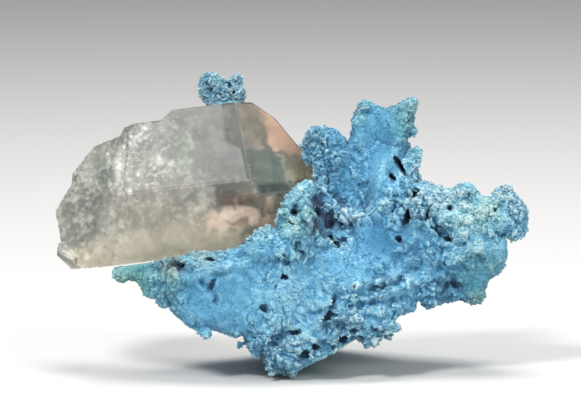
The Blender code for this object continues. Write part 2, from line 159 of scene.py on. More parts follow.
# A repeatable random number from 0 to 1 for each whole-number place: its three parts and the seed, each
# times a big number, are added up, and the sum is folded onto itself and multiplied, over and over.
def placeRandom(cells, seed):
    low32 = np.uint64(0xFFFFFFFF)
    mixed = cells[..., 0] * 374761393 + cells[..., 1] * 668265263 + cells[..., 2] * 1274126177
    mixed = (mixed + seed * 974634777).astype(np.uint64) & low32
    for shift, factor in ((13, 1274126177), (16, 2246822519)):
        mixed = ((mixed ^ (mixed >> np.uint64(shift))) * np.uint64(factor)) & low32
    return ((mixed ^ (mixed >> np.uint64(15))) & np.uint64(0xFFFFFF)).astype(float) / 0xFFFFFF


aroundCell = [(i, j, k) for i in (-1, 0, 1) for j in (-1, 0, 1) for k in (-1, 0, 1)]


# Rounded lumps packed side by side: for each point the distance to the nearest of one random centre per
# cell, over the cells around it, turned into a dome 1 - (distance / size)^2, never below 0.
def lumps(points, size, seed):
    scaled = points / size
    base = np.floor(scaled).astype(np.int64)
    nearest = np.full(len(points), 9.0)
    for step in aroundCell:
        cell = base + step
        centre = cell + np.stack([placeRandom(cell, seed + n) for n in range(3)], 1)
        nearest = np.minimum(nearest, ((scaled - centre) ** 2).sum(1))
    return np.clip(1 - nearest, 0, 1)


# Angular clumps packed side by side, one random centre per cell. For each point: how much farther the
# second nearest centre is than the nearest (0 in the gap between two clumps), in sizes, and the nearest
# clump's own level, a random height plus a random tilt times the offset from its centre.
def clumps(points, size, seed):
    scaled = points / size
    base = np.floor(scaled).astype(np.int64)
    first, second, level = np.full(len(points), 9.0), np.full(len(points), 9.0), np.zeros(len(points))
    for step in aroundCell:
        cell = base + step
        drawn = [placeRandom(cell, seed + n) for n in range(7)]
        offset = scaled - cell - np.stack(drawn[:3], 1)
        far = np.linalg.norm(offset, axis=1)
        nearer = far < first
        second = np.where(nearer, first, np.minimum(second, far))
        first = np.minimum(first, far)
        own = drawn[3] - 0.5 + 1.4 * (offset * (np.stack(drawn[4:], 1) - 0.5)).sum(1)
        level = np.where(nearer, own, level)
    return second - first, level


# The skin where a field on a grid passes through zero. Each edge of the grid whose two ends differ in
# sign gives one crossing, at the share of its length where a straight line between them is zero. A
# cell's point is the mean of its crossings, and each such edge gets one quad through its four cells.
def skinOfField(field, corner, cell):
    shape = np.array(field.shape)
    strides = np.array([shape[1] * shape[2], shape[2], 1])
    total = int(shape.prod())
    sums, counts, quads = np.zeros((3, total)), np.zeros(total), []
    for axis in range(3):
        b, c = (axis + 1) % 3, (axis + 2) % 3
        low = np.take(field, range(shape[axis] - 1), axis)
        high = np.take(field, range(1, shape[axis]), axis)
        found = np.stack(np.nonzero((low > 0) != (high > 0)), 1)
        a0, a1 = low[tuple(found.T)], high[tuple(found.T)]
        place = found.astype(float)
        place[:, axis] += a0 / (a0 - a1)
        corners = [found @ strides - i * strides[b] - j * strides[c]
                   for i, j in ((1, 1), (0, 1), (0, 0), (1, 0))]
        for ids in corners:
            counts += np.bincount(ids, minlength=total)
            for n in range(3):
                sums[n] += np.bincount(ids, weights=place[:, n], minlength=total)
        quad = np.stack(corners, 1)
        quads.append(np.where((a0 > 0)[:, None], quad, quad[:, ::-1]))
    used = counts > 0
    index = np.cumsum(used) - 1
    points = (sums[:, used] / counts[used]).T * cell + corner
    return points, index[np.concatenate(quads)]


# Only the biggest connected skin is kept: every point takes the lowest label along its edges until
# nothing changes.
def biggestSkin(points, faces):
    a, b = faces.ravel(), np.roll(faces, -1, 1).ravel()
    label = np.arange(len(points))
    while True:
        before = label.copy()
        np.minimum.at(label, a, label[b])
        np.minimum.at(label, b, label[a])
        label = label[label]
        if (label == before).all():
            break
    biggest = np.bincount(label).argmax()
    kept = label == biggest
    index = np.cumsum(kept) - 1
    return points[kept], index[faces[kept[faces[:, 0]]]]


# The mean of each point's neighbours along the edges, taken again and again.
def smoothed(values, faces, times):
    a, b = faces.ravel(), np.roll(faces, -1, 1).ravel()
    count = np.bincount(a, minlength=len(values)) + np.bincount(b, minlength=len(values))
    for _ in range(times):
        total = np.stack([
            np.bincount(a, weights=values[b, n], minlength=len(values))
            + np.bincount(b, weights=values[a, n], minlength=len(values)) for n in range(values.shape[1])
        ], 1)
        values = 0.5 * values + 0.5 * total / count[:, None]
    return values


# Outward directions at the points: the faces' cross products, added up at their corners.
def outward(points, faces):
    p = points[faces]
    cross = np.cross(p[:, 2] - p[:, 0], p[:, -1] - p[:, 1])
    total = np.stack([
        np.bincount(faces.ravel(), weights=np.repeat(cross[:, n], faces.shape[1]), minlength=len(points))
        for n in range(3)
    ], 1)
    return total / np.maximum(np.linalg.norm(total, axis=1), 1e-12)[:, None]


# How far each point stands out of the surface that is left after so many smoothings.
def relief(points, faces, along, times):
    return ((points - smoothed(points, faces, times)) * along).sum(1)


# Painted light and shade from the relief. The tone is a plain value plus shares of the fine and the broad
# relief: paler on crests as a painted highlight, darker in hollows as painted shade. The hollow colour, also
# painted shade, comes up where the relief times a factor lies deeper than a start, to a most.
def shading(fine, broad, amounts):
    tone = amounts["plainTone"] + amounts["fineReliefLight"] * np.clip(fine, -0.15, 0.15)
    tone += amounts["broadReliefLight"] * np.clip(broad, -0.6, 0.6)
    return tone, sum(np.clip(-part * factor - start, 0, most) for part, (factor, start, most) in (
        (broad, amounts["broadHollowShade"]), (fine, amounts["fineHollowShade"])))


# Packed clumps of several sizes: the lift is height times level, less the gap's depth times a bell over
# the way into it. Also how much each point lies in a gap, from 0 to 1, where painted shade goes.
def clumpLift(places, look, seed, strength=1.0, cracked=1.0):
    lift, gaps = np.zeros(len(places)), np.zeros(len(places))
    for n, (size, height, deep) in enumerate(look["clumps"]):
        apart, level = clumps(places, size, seed + 10 * n)
        inGap = np.exp(-(apart * size / look["gapWidth"]) ** 2) * cracked
        gaps = np.maximum(gaps, inGap * min(deep / look["fullShadeGap"], 1))
        lift += height * level * strength - deep * inGap
    return lift, gaps


# A field's values at points, eased linearly between the eight grid places around each.
def sampled(values, grid, points):
    share = (points - grid.low) / grid.cell
    base = np.clip(np.floor(share).astype(int), 0, np.array(values.shape) - 2)
    f = np.clip(share - base, 0, 1)
    total = np.zeros(len(points))
    for i in (0, 1):
        for j in (0, 1):
            for k in (0, 1):
                weight = np.prod([f[:, n] if on else 1 - f[:, n] for n, on in enumerate((i, j, k))], axis=0)
                total += weight * values[base[:, 0] + i, base[:, 1] + j, base[:, 2] + k]
    return total


# How far each point lies behind the skin's general front: the foremost point of every 0.4 mm square,
# spread to its neighbours and evened out, less the point's own place.
def behindFront(points, normals):
    square, empty = 0.4, -99.0
    steps = ((0, 0), (1, 0), (-1, 0), (0, 1), (0, -1))
    cells = np.floor((points[:, :2] - points[:, :2].min(0)) / square).astype(int) + 4
    foremost = np.full(cells.max(0) + 5, empty)
    np.maximum.at(foremost, (cells[:, 0], cells[:, 1]), points[:, 2])
    for _ in range(3):
        foremost = np.max([np.roll(foremost, step, (0, 1)) for step in steps], axis=0)
    known = foremost > empty + 9
    solid, weight = np.where(known, foremost, 0.0), known.astype(float)
    for _ in range(10):
        solid, weight = (sum(np.roll(part, step, (0, 1)) for step in steps) / 5 for part in (solid, weight))
    general = solid[cells[:, 0], cells[:, 1]] / np.maximum(weight[cells[:, 0], cells[:, 1]], 1e-6)
    return np.where(normals[:, 2] > -0.4, np.clip(general - points[:, 2], 0, 6), 0)


# Weights from 0 to 1 from soft spots (across, down, reach in mm, strength), over the front view.
def spots(points, listed):
    total = np.zeros(len(points))
    for across, down, reach, strength in listed:
        x, u = frontPlace(across, down)
        total += strength * np.exp(-0.5 * ((points[:, 0] - x) ** 2 + (points[:, 1] - u) ** 2) / reach ** 2)
    return total


# The larger of two fields, with the seam between them filled to a fillet of the given width.
def melted(a, b, width):
    share = np.clip(0.5 + 0.5 * (a - b) / width, 0, 1)
    return b + (a - b) * share + width * share * (1 - share)


# The crystal's faces

crystal = {
    "centre": (180, 182, -14.0),  # steps across and down, mm toward the viewer
    "rise": math.radians(7.0),  # the long axis climbs to the right
    "swing": math.radians(-6.3),  # and its point swings away from the viewer
    "prismTurn": 36.5,  # degrees from the viewer up to the upper front face
    "rhombSlope": math.radians(51.8),  # between the long axis and an end face's outward direction
    # how far each face lies from the centre in mm, by its turn in degrees from the upper front face
    "prismReach": {0: 11.8, -60: 14.65, 60: 13.95, 120: 13.0, 180: 10.0, -127.5: 14.79},
    "rhombReach": {0: 16.94, -60: 19.95, 60: 21.0, 120: 16.8, 180: 16.1, -120: 20.5},
}


def crystalAxes():  # its long axis, its upward axis and its axis to the viewer, as x, u, t
    turn = Matrix.Rotation(-crystal["rise"], 3, "Y") @ Matrix.Rotation(-crystal["swing"], 3, "Z")
    axes = [turn @ Vector(v) for v in ((1, 0, 0), (0, 0, 1), (0, -1, 0))]
    return [np.array([v.x, v.z, -v.y]) for v in axes]


def ringDirection(turn):  # square to the long axis, at a turn in degrees from the upper front face
    _, up, toward = crystalAxes()
    angle = math.radians(crystal["prismTurn"] + turn)
    return math.cos(angle) * toward + math.sin(angle) * up


def crystalFaces():
    along = crystalAxes()[0]
    slope = crystal["rhombSlope"]
    prism = [(ringDirection(turn), d) for turn, d in crystal["prismReach"].items()]
    ends = [(math.cos(slope) * along + math.sin(slope) * ringDirection(turn), d)
            for turn, d in crystal["rhombReach"].items()]
    return prism + ends


# The crust: where its outline, its depth and its forms lie

crust = {
    "box": ((-38.0, -2.0, -46.0), (49.5, 58.0, 9.0)),  # mm, the grid's lowest and highest x, u, t
    "cell": 0.34,  # mm, of the grid its skin is worked out on
    "backKept": 0.72,  # share of its triangles that stay, with the thinning on the back
    # packed clumps: size, how far they differ in height, how deep the gaps between them are, all in mm
    "clumps": [(3.6, 0.55, 0.4), (1.8, 0.45, 0.35), (0.95, 0.25, 0.12)],
    "gapWidth": 0.42,
    # the gaps between the clumps are darkened towards the hollow colour as painted shade
    "fullShadeGap": 0.45,  # mm, a gap this deep takes the whole hollow colour
    "lumpSize": 1.3,  # mm, of the rounded lumps between them
    "lumpHeight": 0.3,
    # tone from the relief: paler on crests as a painted highlight, darker in hollows as painted shade; the
    # hollow colour there is painted shade too
    "plainTone": 0.46,
    "fineReliefLight": 1.9,  # a mm of fine or broad relief makes the tone this much paler
    "broadReliefLight": 0.3,
    "broadHollowShade": (0.4, 0.12, 1.0),  # factor, start and most of the hollow colour
    "fineHollowShade": (1.8, 0.08, 0.4),
    # noise, as parts of height in mm, spacing in mm and a seed
    "unevenFront": [(0.7, 4.2, 11), (0.5, 2.2, 12), (0.9, 1.2, 14)],
    "unevenBack": [(1.1, 5.0, 41), (0.6, 2.4, 42)],
    "unevenSides": [(0.9, 4.4, 43)],
    "wobble": [(0.5, 2.4, 20), (0.25, 1.3, 30), (0.2, 0.8, 35)],  # moves the forms' own places
    "lineSway": [(0.6, 2.4, 51)],
    "lineSwell": [(0.5, 3.0, 53)],
    "knobFillet": 1.6,  # mm, where a form is melted on or taken away
    "smallKnobFillet": 0.4,
    "rodFillet": 0.5,
    "pitFillet": 0.15,
    "depthReach": 6.0,  # mm over which a known depth has a say
    "rimBehind": 4.0,  # mm from the front surface back to the outline
    "frontRound": 5.0,
    "inwards": 0.1,  # mm that the skin starts inside the outline, which lumps and crumbs then fill
    "outline": [
        (112, 275), (115, 266), (150, 259), (200, 252), (238, 247), (249, 240), (255, 231), (268, 226),
        (277, 226), (280, 212), (282, 202), (290, 195), (298, 184), (311, 188), (316, 178), (311, 160),
        (305, 152), (300, 146), (300, 140), (304, 138), (310, 130), (313, 127), (318, 125), (322, 128),
        (334, 127), (339, 129), (340, 132), (346, 138), (347, 142), (350, 135), (349, 122), (352, 110),
        (355, 107), (364, 102), (372, 105), (380, 107), (395, 105), (400, 101), (410, 96), (419, 101),
        (416, 115), (416, 126), (419, 131), (411, 135), (410, 147), (416, 150), (415, 163), (419, 167),
        (418, 178), (435, 183), (445, 187), (452, 190), (456, 187), (460, 184), (470, 187), (480, 195),
        (485, 197), (490, 196), (494, 190), (503, 187), (509, 193), (521, 201), (527, 208), (529, 214),
        (528, 220), (525, 230), (520, 236), (512, 239), (507, 236), (504, 238), (505, 245), (508, 252),
        (508, 260), (505, 268), (500, 274), (490, 280), (487, 287), (485, 296), (477, 305), (470, 304),
        (462, 301), (450, 301), (448, 304), (433, 307), (426, 307), (421, 301), (416, 301), (414, 311),
        (398, 316), (393, 322), (391, 330), (376, 333), (380, 340), (375, 347), (360, 348), (355, 345),
        (345, 350), (322, 361), (299, 374), (293, 377), (288, 377), (283, 373), (274, 373), (270, 370),
        (266, 362), (262, 356), (256, 358), (250, 350), (246, 346), (243, 336), (237, 338), (221, 332),
        (209, 327), (210, 334), (203, 337), (198, 329), (190, 326), (180, 319), (171, 310), (170, 305),
        (165, 307), (160, 304), (156, 297), (149, 298), (143, 288), (140, 282), (131, 281), (125, 284),
        (120, 282),
    ],
    # across, down, front, back (mm towards the viewer), and over how many mm the back rounds off
    "depths": [
        (125, 274, -3, -14, 12), (170, 290, 2, -22, 12), (215, 305, 4, -28, 12), (250, 340, 3, -37, 6),
        (290, 366, 1, -43, 3), (250, 275, 5, -30, 13), (290, 230, 5, -28, 13), (300, 195, 3, -26, 13),
        (325, 145, -11, -28, 10), (375, 120, -15, -26, 10), (408, 112, -9, -24, 10),
        (360, 175, -14, -30, 13), (350, 196, -13, -34, 13), (352, 215, -5, -36, 13),
        (345, 245, -3, -38, 13), (345, 290, 1, -42, 10), (315, 335, 3, -43, 5), (366, 335, 0, -38, 6),
        (400, 250, -1, -36, 13), (395, 300, 0, -34, 12), (440, 200, -5, -26, 12), (443, 232, -11, -28, 13),
        (430, 275, -4, -29, 12), (505, 212, -6, -22, 9), (478, 220, -5, -25, 10), (475, 280, -6, -25, 10),
        (500, 256, -5, -22, 9), (408, 165, -12, -26, 10), (395, 215, -8, -32, 13), (330, 180, -9, -32, 13),
    ],
    # soft rises and hollows of the front: across, down, lift in mm, reach across and up in mm, turn
    "rises": [
        (378, 130, -0.8, 3.0, 3.6, 0), (343, 195, -1.6, 4.2, 2.4, -20), (381, 196, 1.0, 1.8, 4.0, 10),
        (356, 204, 1.2, 1.6, 1.6, 0), (331, 220, -3.2, 2.0, 2.2, 20), (377, 240, -1.8, 3.2, 2.8, 0),
        (388, 266, -0.8, 4.6, 1.2, 24), (405, 285, 0.8, 5.0, 1.4, 24), (370, 305, -0.8, 4.4, 1.0, 12),
        (349, 318, 1.2, 2.2, 0.8, 0), (308, 222, 1.2, 1.4, 4.2, 0), (291, 226, 1.4, 1.8, 1.8, 0),
        (279, 258, -1.2, 1.8, 1.6, 0), (203, 257, 0.8, 3.0, 1.0, 4), (172, 266, -2.4, 3.0, 1.2, 0),
        (150, 268, -1.6, 2.2, 0.9, 0), (301, 347, 0.8, 3.6, 2.4, 0), (326, 340, -1.0, 1.8, 1.6, 0),
        (336, 300, -1.4, 1.4, 1.6, 0), (476, 278, -1.0, 4.2, 3.8, 0), (463, 252, 1.2, 2.6, 0.8, 25),
        (494, 270, 0.6, 2.0, 1.4, -30), (444, 232, -1.2, 2.6, 0.9, -35), (418, 235, 0.8, 2.6, 2.6, 0),
        (478, 236, -1.0, 2.6, 1.0, 0), (418, 206, 1.4, 3.2, 1.3, -50), (406, 222, -1.4, 0.9, 2.2, -15),
        (435, 197, 0.6, 3.0, 1.6, 0),
    ],
    # knobs: across, down, mm proud of the front around them, then radii across, up and toward in mm
    "knobs": [
        (204, 330, -1.5, 1.5, 1.4, 1.8), (242, 344, -3.0, 1.0, 1.0, 1.2), (368, 337, 0.8, 2.3, 2.0, 2.6),
        (300, 342, 1.2, 2.8, 2.2, 2.0), (285, 352, 0.9, 2.4, 2.0, 2.0), (316, 350, 1.0, 2.2, 1.8, 1.8),
        (289, 226, 0.5, 2.2, 2.2, 1.8), (292, 205, 0.7, 2.2, 2.0, 2.0), (303, 194, 0.8, 2.2, 1.8, 2.2),
        (259, 240, 0.8, 2.2, 1.8, 1.6), (304, 222, 0.9, 1.2, 4.4, 1.8), (268, 250, 0.8, 3.0, 3.0, 1.8),
        (350, 322, 1.0, 2.6, 1.4, 1.8), (316, 302, 0.8, 3.2, 1.4, 1.6), (352, 216, 0.6, 3.8, 1.2, 2.0),
        (364, 107, 0.2, 1.6, 1.2, 2.4), (411, 103, -0.6, 1.6, 1.2, 3.0), (415, 130, -2.0, 0.9, 0.8, 1.4),
        (463, 194, 0.5, 2.6, 2.0, 2.6), (501, 197, 0.3, 2.4, 2.0, 2.6), (516, 212, 0.3, 2.4, 2.4, 2.6),
        (513, 227, -0.3, 2.4, 2.0, 2.6), (482, 210, 0.8, 2.6, 2.2, 2.4), (445, 207, 0.8, 3.6, 2.6, 2.4),
        (466, 229, 0.9, 3.0, 2.2, 2.4), (496, 250, 0.5, 2.2, 2.6, 2.2), (481, 247, 0.8, 2.4, 2.2, 2.2),
        (318, 138, 0.6, 2.8, 2.0, 2.4), (333, 142, 0.6, 2.4, 2.0, 2.4), (326, 158, 0.8, 3.6, 2.4, 2.4),
        (430, 302, -0.6, 2.4, 1.0, 2.4), (474, 296, -0.6, 2.0, 1.6, 2.2), (383, 325, 0.8, 2.8, 1.4, 2.4),
        (293, 338, 1.6, 1.1, 1.0, 1.4), (304, 336, 1.8, 1.2, 1.1, 1.4), (313, 340, 1.6, 1.0, 1.0, 1.3),
        (288, 346, 1.5, 1.0, 0.9, 1.2), (299, 347, 1.9, 1.1, 1.0, 1.3), (309, 352, 1.4, 1.0, 1.0, 1.2),
        (322, 352, 1.2, 1.1, 0.9, 1.2), (280, 360, 0.8, 1.0, 1.0, 1.2), (293, 360, 0.7, 1.1, 0.9, 1.2),
        (332, 349, 0.8, 1.0, 0.8, 1.1), (272, 366, 0.2, 0.9, 0.9, 1.2), (326, 318, 1.0, 1.7, 0.8, 1.2),
        (300, 232, 1.4, 0.9, 1.0, 1.2), (309, 212, 1.6, 1.0, 1.2, 1.3), (285, 213, 1.4, 1.4, 1.4, 1.4),
        (386, 335, -1.6, 1.1, 1.1, 1.3), (308, 186, 1.2, 1.3, 1.0, 1.2), (325, 208, 0.4, 1.1, 1.1, 1.2),
    ],
    # rods: the two ends as across, down and mm proud of the front around them, then the radius in mm
    "rods": [
        ((401, 184, 1.2), (411, 153, 0.2), 1.0), ((409, 187, 1.2), (415, 168, 0.4), 1.0),
        ((417, 151, -0.6), (413, 164, 0.4), 0.9), ((412, 154, 0.0), (417, 150, -0.4), 0.8),
    ],
    # soft ridges and creases along lines of the front: lift in mm, width in mm, then across and down
    "lines": [
        (1.3, 1.0, [(414, 100), (406, 122), (397, 142), (386, 160), (378, 180), (374, 205)]),
        (0.8, 0.6, [(356, 106), (352, 122), (352, 138)]), (0.5, 0.5, [(364, 103), (380, 108), (398, 104)]),
        (0.7, 0.7, [(304, 145), (316, 140), (330, 146), (340, 152)]),
        (0.8, 0.7, [(316, 166), (328, 160), (340, 155), (350, 147)]),
        (0.7, 0.8, [(312, 150), (316, 165), (320, 180), (326, 196), (334, 212)]),
        (1.6, 0.8, [(334, 212), (345, 217), (360, 216), (375, 213), (388, 203), (391, 190)]),
        (1.0, 1.0, [(300, 190), (306, 205), (310, 222), (308, 238)]),
        (0.8, 0.7, [(326, 208), (334, 222), (334, 236)]),
        (0.8, 0.6, [(352, 286), (368, 286), (384, 283), (398, 272), (412, 260), (430, 252)]),
        (-0.8, 0.45, [(368, 190), (366, 200), (362, 210)]),
        (0.4, 0.5, [(356, 262), (370, 266), (385, 262), (398, 250)]),
        (0.5, 0.5, [(350, 300), (375, 300), (400, 290), (425, 278), (448, 270)]),
        (0.5, 0.5, [(350, 316), (380, 312), (405, 303), (430, 296)]),
        (0.3, 0.4, [(360, 245), (366, 233), (378, 229), (388, 236)]),
        (1.4, 1.1, [(402, 183), (412, 197), (424, 212), (432, 224)]),
        (0.9, 0.6, [(447, 262), (460, 255), (476, 250), (488, 262), (494, 274)]),
        (0.6, 0.8, [(420, 186), (438, 192), (452, 198)]), (0.7, 0.9, [(458, 206), (474, 208), (490, 204)]),
        (0.7, 0.9, [(446, 216), (462, 222), (478, 224)]),
        (1.0, 0.8, [(118, 272), (140, 273), (165, 277), (190, 274), (220, 266), (245, 256)]),
        (0.8, 0.8, [(250, 244), (262, 236), (276, 230)]), (0.3, 0.5, [(196, 280), (214, 284), (232, 276)]),
        (0.9, 0.9, [(284, 345), (298, 338), (316, 336), (332, 342)]),
        (1.1, 0.6, [(322, 321), (334, 318), (350, 316), (360, 322)]),
        (0.5, 0.4, [(312, 300), (320, 296), (330, 300)]), (0.6, 0.7, [(362, 334), (378, 326), (394, 318)]),
        (0.8, 0.4, [(298, 226), (296, 232), (290, 234), (284, 232), (282, 226), (284, 220), (290, 218),
                    (296, 220), (298, 226)]), (-0.9, 0.3, [(310, 149), (322, 152), (336, 160)]),
        (-0.5, 0.25, [(304, 160), (314, 166)]), (-0.6, 0.35, [(350, 140), (358, 150), (366, 160)]),
        (-0.4, 0.3, [(350, 226), (354, 244), (358, 262)]),
        (-1.0, 0.35, [(401, 186), (409, 200), (420, 216)]),
        (-0.8, 0.3, [(411, 189), (424, 204), (436, 222)]),
        (-0.9, 0.45, [(438, 264), (446, 276), (456, 292)]), (-0.5, 0.3, [(450, 264), (462, 257)]),
        (-0.6, 0.35, [(352, 290), (380, 289), (400, 280)]),
        (-0.5, 0.35, [(400, 280), (420, 268), (440, 258)]),
        (-0.4, 0.3, [(346, 306), (376, 306), (404, 297)]),
        (-0.7, 0.3, [(268, 264), (276, 250), (286, 246)]),
        (-0.7, 0.3, [(300, 244), (316, 246), (326, 244)]),
        (-0.6, 0.3, [(391, 176), (394, 196), (392, 212)]),
        (-0.9, 0.6, [(468, 240), (482, 242), (494, 236)]),
        (-0.9, 0.4, [(203, 278), (210, 286), (216, 298)]),
        (-0.4, 0.3, [(264, 316), (276, 328), (290, 334)]),
        (-0.4, 0.3, [(394, 322), (408, 310), (421, 303)]),
        (-0.7, 0.35, [(330, 316), (346, 326), (358, 330)]),
        (-0.5, 0.3, [(320, 286), (326, 298), (332, 308)]),
        (-0.8, 0.35, [(338, 326), (350, 330), (360, 328)]),
        (-1.0, 0.35, [(284, 352), (296, 354), (308, 352)]),
    ],
    # pits: across, down, mm proud, radii across, up and toward in mm, and a turn in the view
    "pits": [
        (285, 275, 1, 0.6, 0.75, 4.4, 0), (264, 309, 1, 0.5, 1.0, 3.4, -30),
        (256, 336, 1, 0.8, 0.7, 3.0, 0), (290.5, 226, 2, 0.65, 0.65, 5.0, 0),
        (295, 214, 2, 0.9, 0.5, 3.4, 20), (317.5, 211, 1, 0.9, 0.8, 3.4, 0),
        (277.5, 287, 1, 0.3, 0.3, 2.4, 0), (297, 260, 1, 0.35, 0.9, 2.2, -30),
        (283, 255, 1, 1.0, 0.5, 2.4, 30), (278, 259, 1, 0.4, 0.9, 2.4, 10),
        (289, 262, 1, 0.35, 0.8, 2.2, -10), (212, 285, 1, 0.6, 1.4, 2.8, 30),
        (216, 296, 1, 0.4, 0.8, 2.4, -20), (334, 243, 1, 0.7, 1.8, 7.0, -12),
        (341, 239, 1, 1.5, 0.35, 3.4, -8), (333, 297, 1, 0.5, 1.5, 3.0, 0),
        (329, 315, 1, 1.5, 0.45, 2.6, -15), (295, 329, 1, 1.1, 0.3, 2.0, -10),
        (339.5, 208, 1, 0.5, 0.4, 2.8, 20), (407.5, 216, 1, 0.4, 1.4, 5.0, 10),
        (398.5, 238, 1, 0.55, 0.65, 4.0, -30), (391, 222.5, 1, 0.35, 0.3, 2.4, 0),
        (392, 213, 1, 0.35, 0.3, 2.4, 0), (427, 216, 2, 0.3, 1.2, 4.0, 20),
        (437, 231, 1, 1.7, 0.2, 3.0, 38), (449, 238, 2, 1.2, 0.6, 4.4, 15),
        (401, 165, 1, 0.35, 2.3, 6.0, -38), (393, 176, 1, 0.5, 1.0, 4.0, -30),
        (414, 195.5, 1, 0.4, 0.9, 3.4, 10), (331, 188, 1, 1.1, 1.1, 2.6, 0),
        (343, 201, 1, 0.7, 0.5, 1.8, 0), (363, 210, 1, 0.4, 0.3, 2.0, 0),
        (302, 353, 1, 1.0, 0.35, 3.0, -10), (343, 339, 1, 0.9, 0.8, 4.0, -30),
        (358, 340, 2, 0.5, 0.6, 3.4, 30), (315, 344, 1, 0.6, 0.35, 2.4, 10),
        (332, 345, 1, 0.4, 0.4, 2.4, 0), (446, 285, 1, 0.7, 0.5, 3.4, 0), (453, 285, 1, 0.4, 0.8, 2.4, 0),
        (447, 263, 1, 0.35, 0.4, 2.4, 0), (450, 210, 1, 0.4, 0.35, 2.8, 0),
        (459, 224, 1, 0.35, 0.35, 2.4, 0), (464, 245, 1, 0.35, 0.5, 2.2, 0),
        (493, 208, 1, 0.5, 0.4, 2.4, 0), (175, 264, 1, 2.2, 0.9, 4.5, 0), (154, 267, 1, 0.9, 0.7, 3.4, 0),
        (209, 259, 1, 1.7, 0.3, 4.4, -2), (134, 266, 1, 0.4, 0.4, 2.8, 0), (369, 124, 1, 0.35, 0.3, 1.8, 0),
        (374, 118, 1, 0.3, 0.3, 1.6, 0), (179, 294, 1, 0.3, 0.3, 1.8, 0), (254, 335, 1, 0.4, 0.8, 2.6, -20),
        (415, 120, 0, 0.4, 1.4, 2.6, 8),
    ],
    "widerPits": 0.12,  # mm, made up for by the lumps and crumbs on their walls
    "facetEdge": ((300, 368.5), (352, 341)),  # the smooth straight face right of the lowest tip
    "facetSpin": math.radians(-5.5),  # its turn about its own length
    # spots: across, down, reach in mm, strength
    "smooth": [
        (195, 302, 4.4, 1.0), (225, 315, 4.0, 0.6), (370, 192, 4.0, 0.8), (378, 238, 3.6, 0.9),
        (376, 125, 4.0, 0.5), (385, 125, 4.0, 0.5), (385, 150, 4.0, 0.5), (395, 170, 3.0, 0.4),
        (360, 255, 3.0, 0.4), (230, 290, 3.4, 0.5), (288, 308, 5.0, 0.5), (262, 296, 4.0, 0.4),
        (345, 275, 3.4, 0.3), (476, 278, 3.6, 0.9), (400, 290, 4.6, 0.4), (420, 245, 3.2, 0.3),
        (290, 290, 3.6, 0.4), (268, 262, 2.0, 0.4),
    ],
    "teal": [
        (140, 276, 3.6, 0.9), (162, 280, 3.0, 0.8), (122, 276, 3.0, 0.5), (290, 226, 2.0, 0.6),
        (308, 214, 1.4, 0.7), (308, 232, 1.4, 0.6), (284, 212, 1.6, 0.4), (404, 118, 2.6, 0.9),
        (356, 110, 2.2, 0.5), (482, 214, 2.8, 0.6), (477, 300, 1.6, 1.0), (474, 276, 3.6, 0.5),
        (492, 262, 2.0, 0.4), (455, 220, 3.0, 0.3), (415, 152, 1.4, 0.4), (340, 352, 2.0, 0.5),
        (382, 340, 1.6, 0.3), (298, 200, 2.0, 0.4), (318, 140, 2.4, 0.3),
    ],
    # pale and deep: spots partly of the crust's own paler and deeper blue, partly painted light on lit tops
    # and painted shade in hollows and on faces turned down
    "pale": [
        (352, 217, 1.8, 1.2), (364, 214, 1.8, 1.1), (341, 216, 1.2, 0.8), (378, 208, 1.6, 0.8),
        (386, 198, 1.4, 0.7), (285, 305, 6.0, 0.5), (300, 330, 5.0, 0.4), (250, 290, 4.0, 0.3),
        (340, 290, 5.0, 0.3), (262, 236, 2.4, 0.7), (300, 190, 2.0, 0.6), (349, 320, 1.8, 0.8),
        (408, 100, 2.2, 0.7), (362, 104, 2.0, 0.4), (120, 272, 2.4, 0.7), (382, 168, 1.8, 0.5),
        (515, 200, 3.0, 0.9), (500, 192, 2.6, 0.9), (455, 210, 4.0, 0.5), (420, 198, 3.0, 0.9),
        (465, 245, 3.0, 0.7), (480, 225, 4.0, 0.6), (440, 205, 3.0, 0.5), (465, 192, 3.0, 0.5),
        (445, 205, 3.4, 0.5), (492, 222, 3.4, 0.4), (466, 232, 2.6, 0.4), (480, 250, 2.6, 0.5),
        (300, 344, 3.0, 0.4), (205, 257, 2.2, 0.6), (318, 180, 1.6, 0.4), (410, 170, 2.4, 0.5),
        (385, 322, 2.4, 0.4), (438, 190, 2.4, 0.3), (230, 262, 2.0, 0.3),
    ],
    "deep": [
        (334, 190, 2.2, 0.9), (366, 200, 1.6, 0.9), (330, 222, 2.6, 0.9), (376, 244, 3.4, 0.4),
        (378, 132, 3.6, 0.35), (484, 236, 2.6, 0.7), (283, 256, 2.4, 0.6), (212, 288, 2.2, 0.6),
        (443, 232, 2.6, 0.6), (325, 152, 2.6, 0.3), (350, 176, 3.6, 0.3), (460, 290, 2.4, 0.5),
        (426, 300, 2.6, 0.4), (256, 335, 2.0, 0.4), (195, 302, 6.0, 0.5), (378, 240, 3.0, 0.9),
        (476, 278, 4.0, 0.8), (378, 130, 4.0, 0.5), (450, 290, 4.0, 0.6), (140, 280, 4.0, 0.6),
        (230, 310, 5.0, 0.3), (378, 240, 3.0, 0.6), (358, 172, 4.0, 0.4),
    ],
    "olive": [
        (173, 266, 1.4, 0.8), (205, 256, 1.6, 0.6), (310, 226, 1.0, 0.3), (486, 208, 1.2, 0.3),
        (477, 300, 1.2, 0.3),
    ],
}


# The distance from each place to the nearest of some straight sides, by the share of each side's length
# at which it comes nearest.
def sidesDistance(places, starts, runs):
    offsets = places[:, None] - starts[None]
    share = np.clip((offsets * runs).sum(-1) / (runs * runs).sum(-1), 0, 1)
    return np.linalg.norm(offsets - share[..., None] * runs, axis=-1).min(1)


def lineDistance(places, line):  # to a line through corners across and down
    corners = np.stack(frontPlace(*np.array(line, float).T), 1)
    return sidesDistance(places, corners[:-1], corners[1:] - corners[:-1])


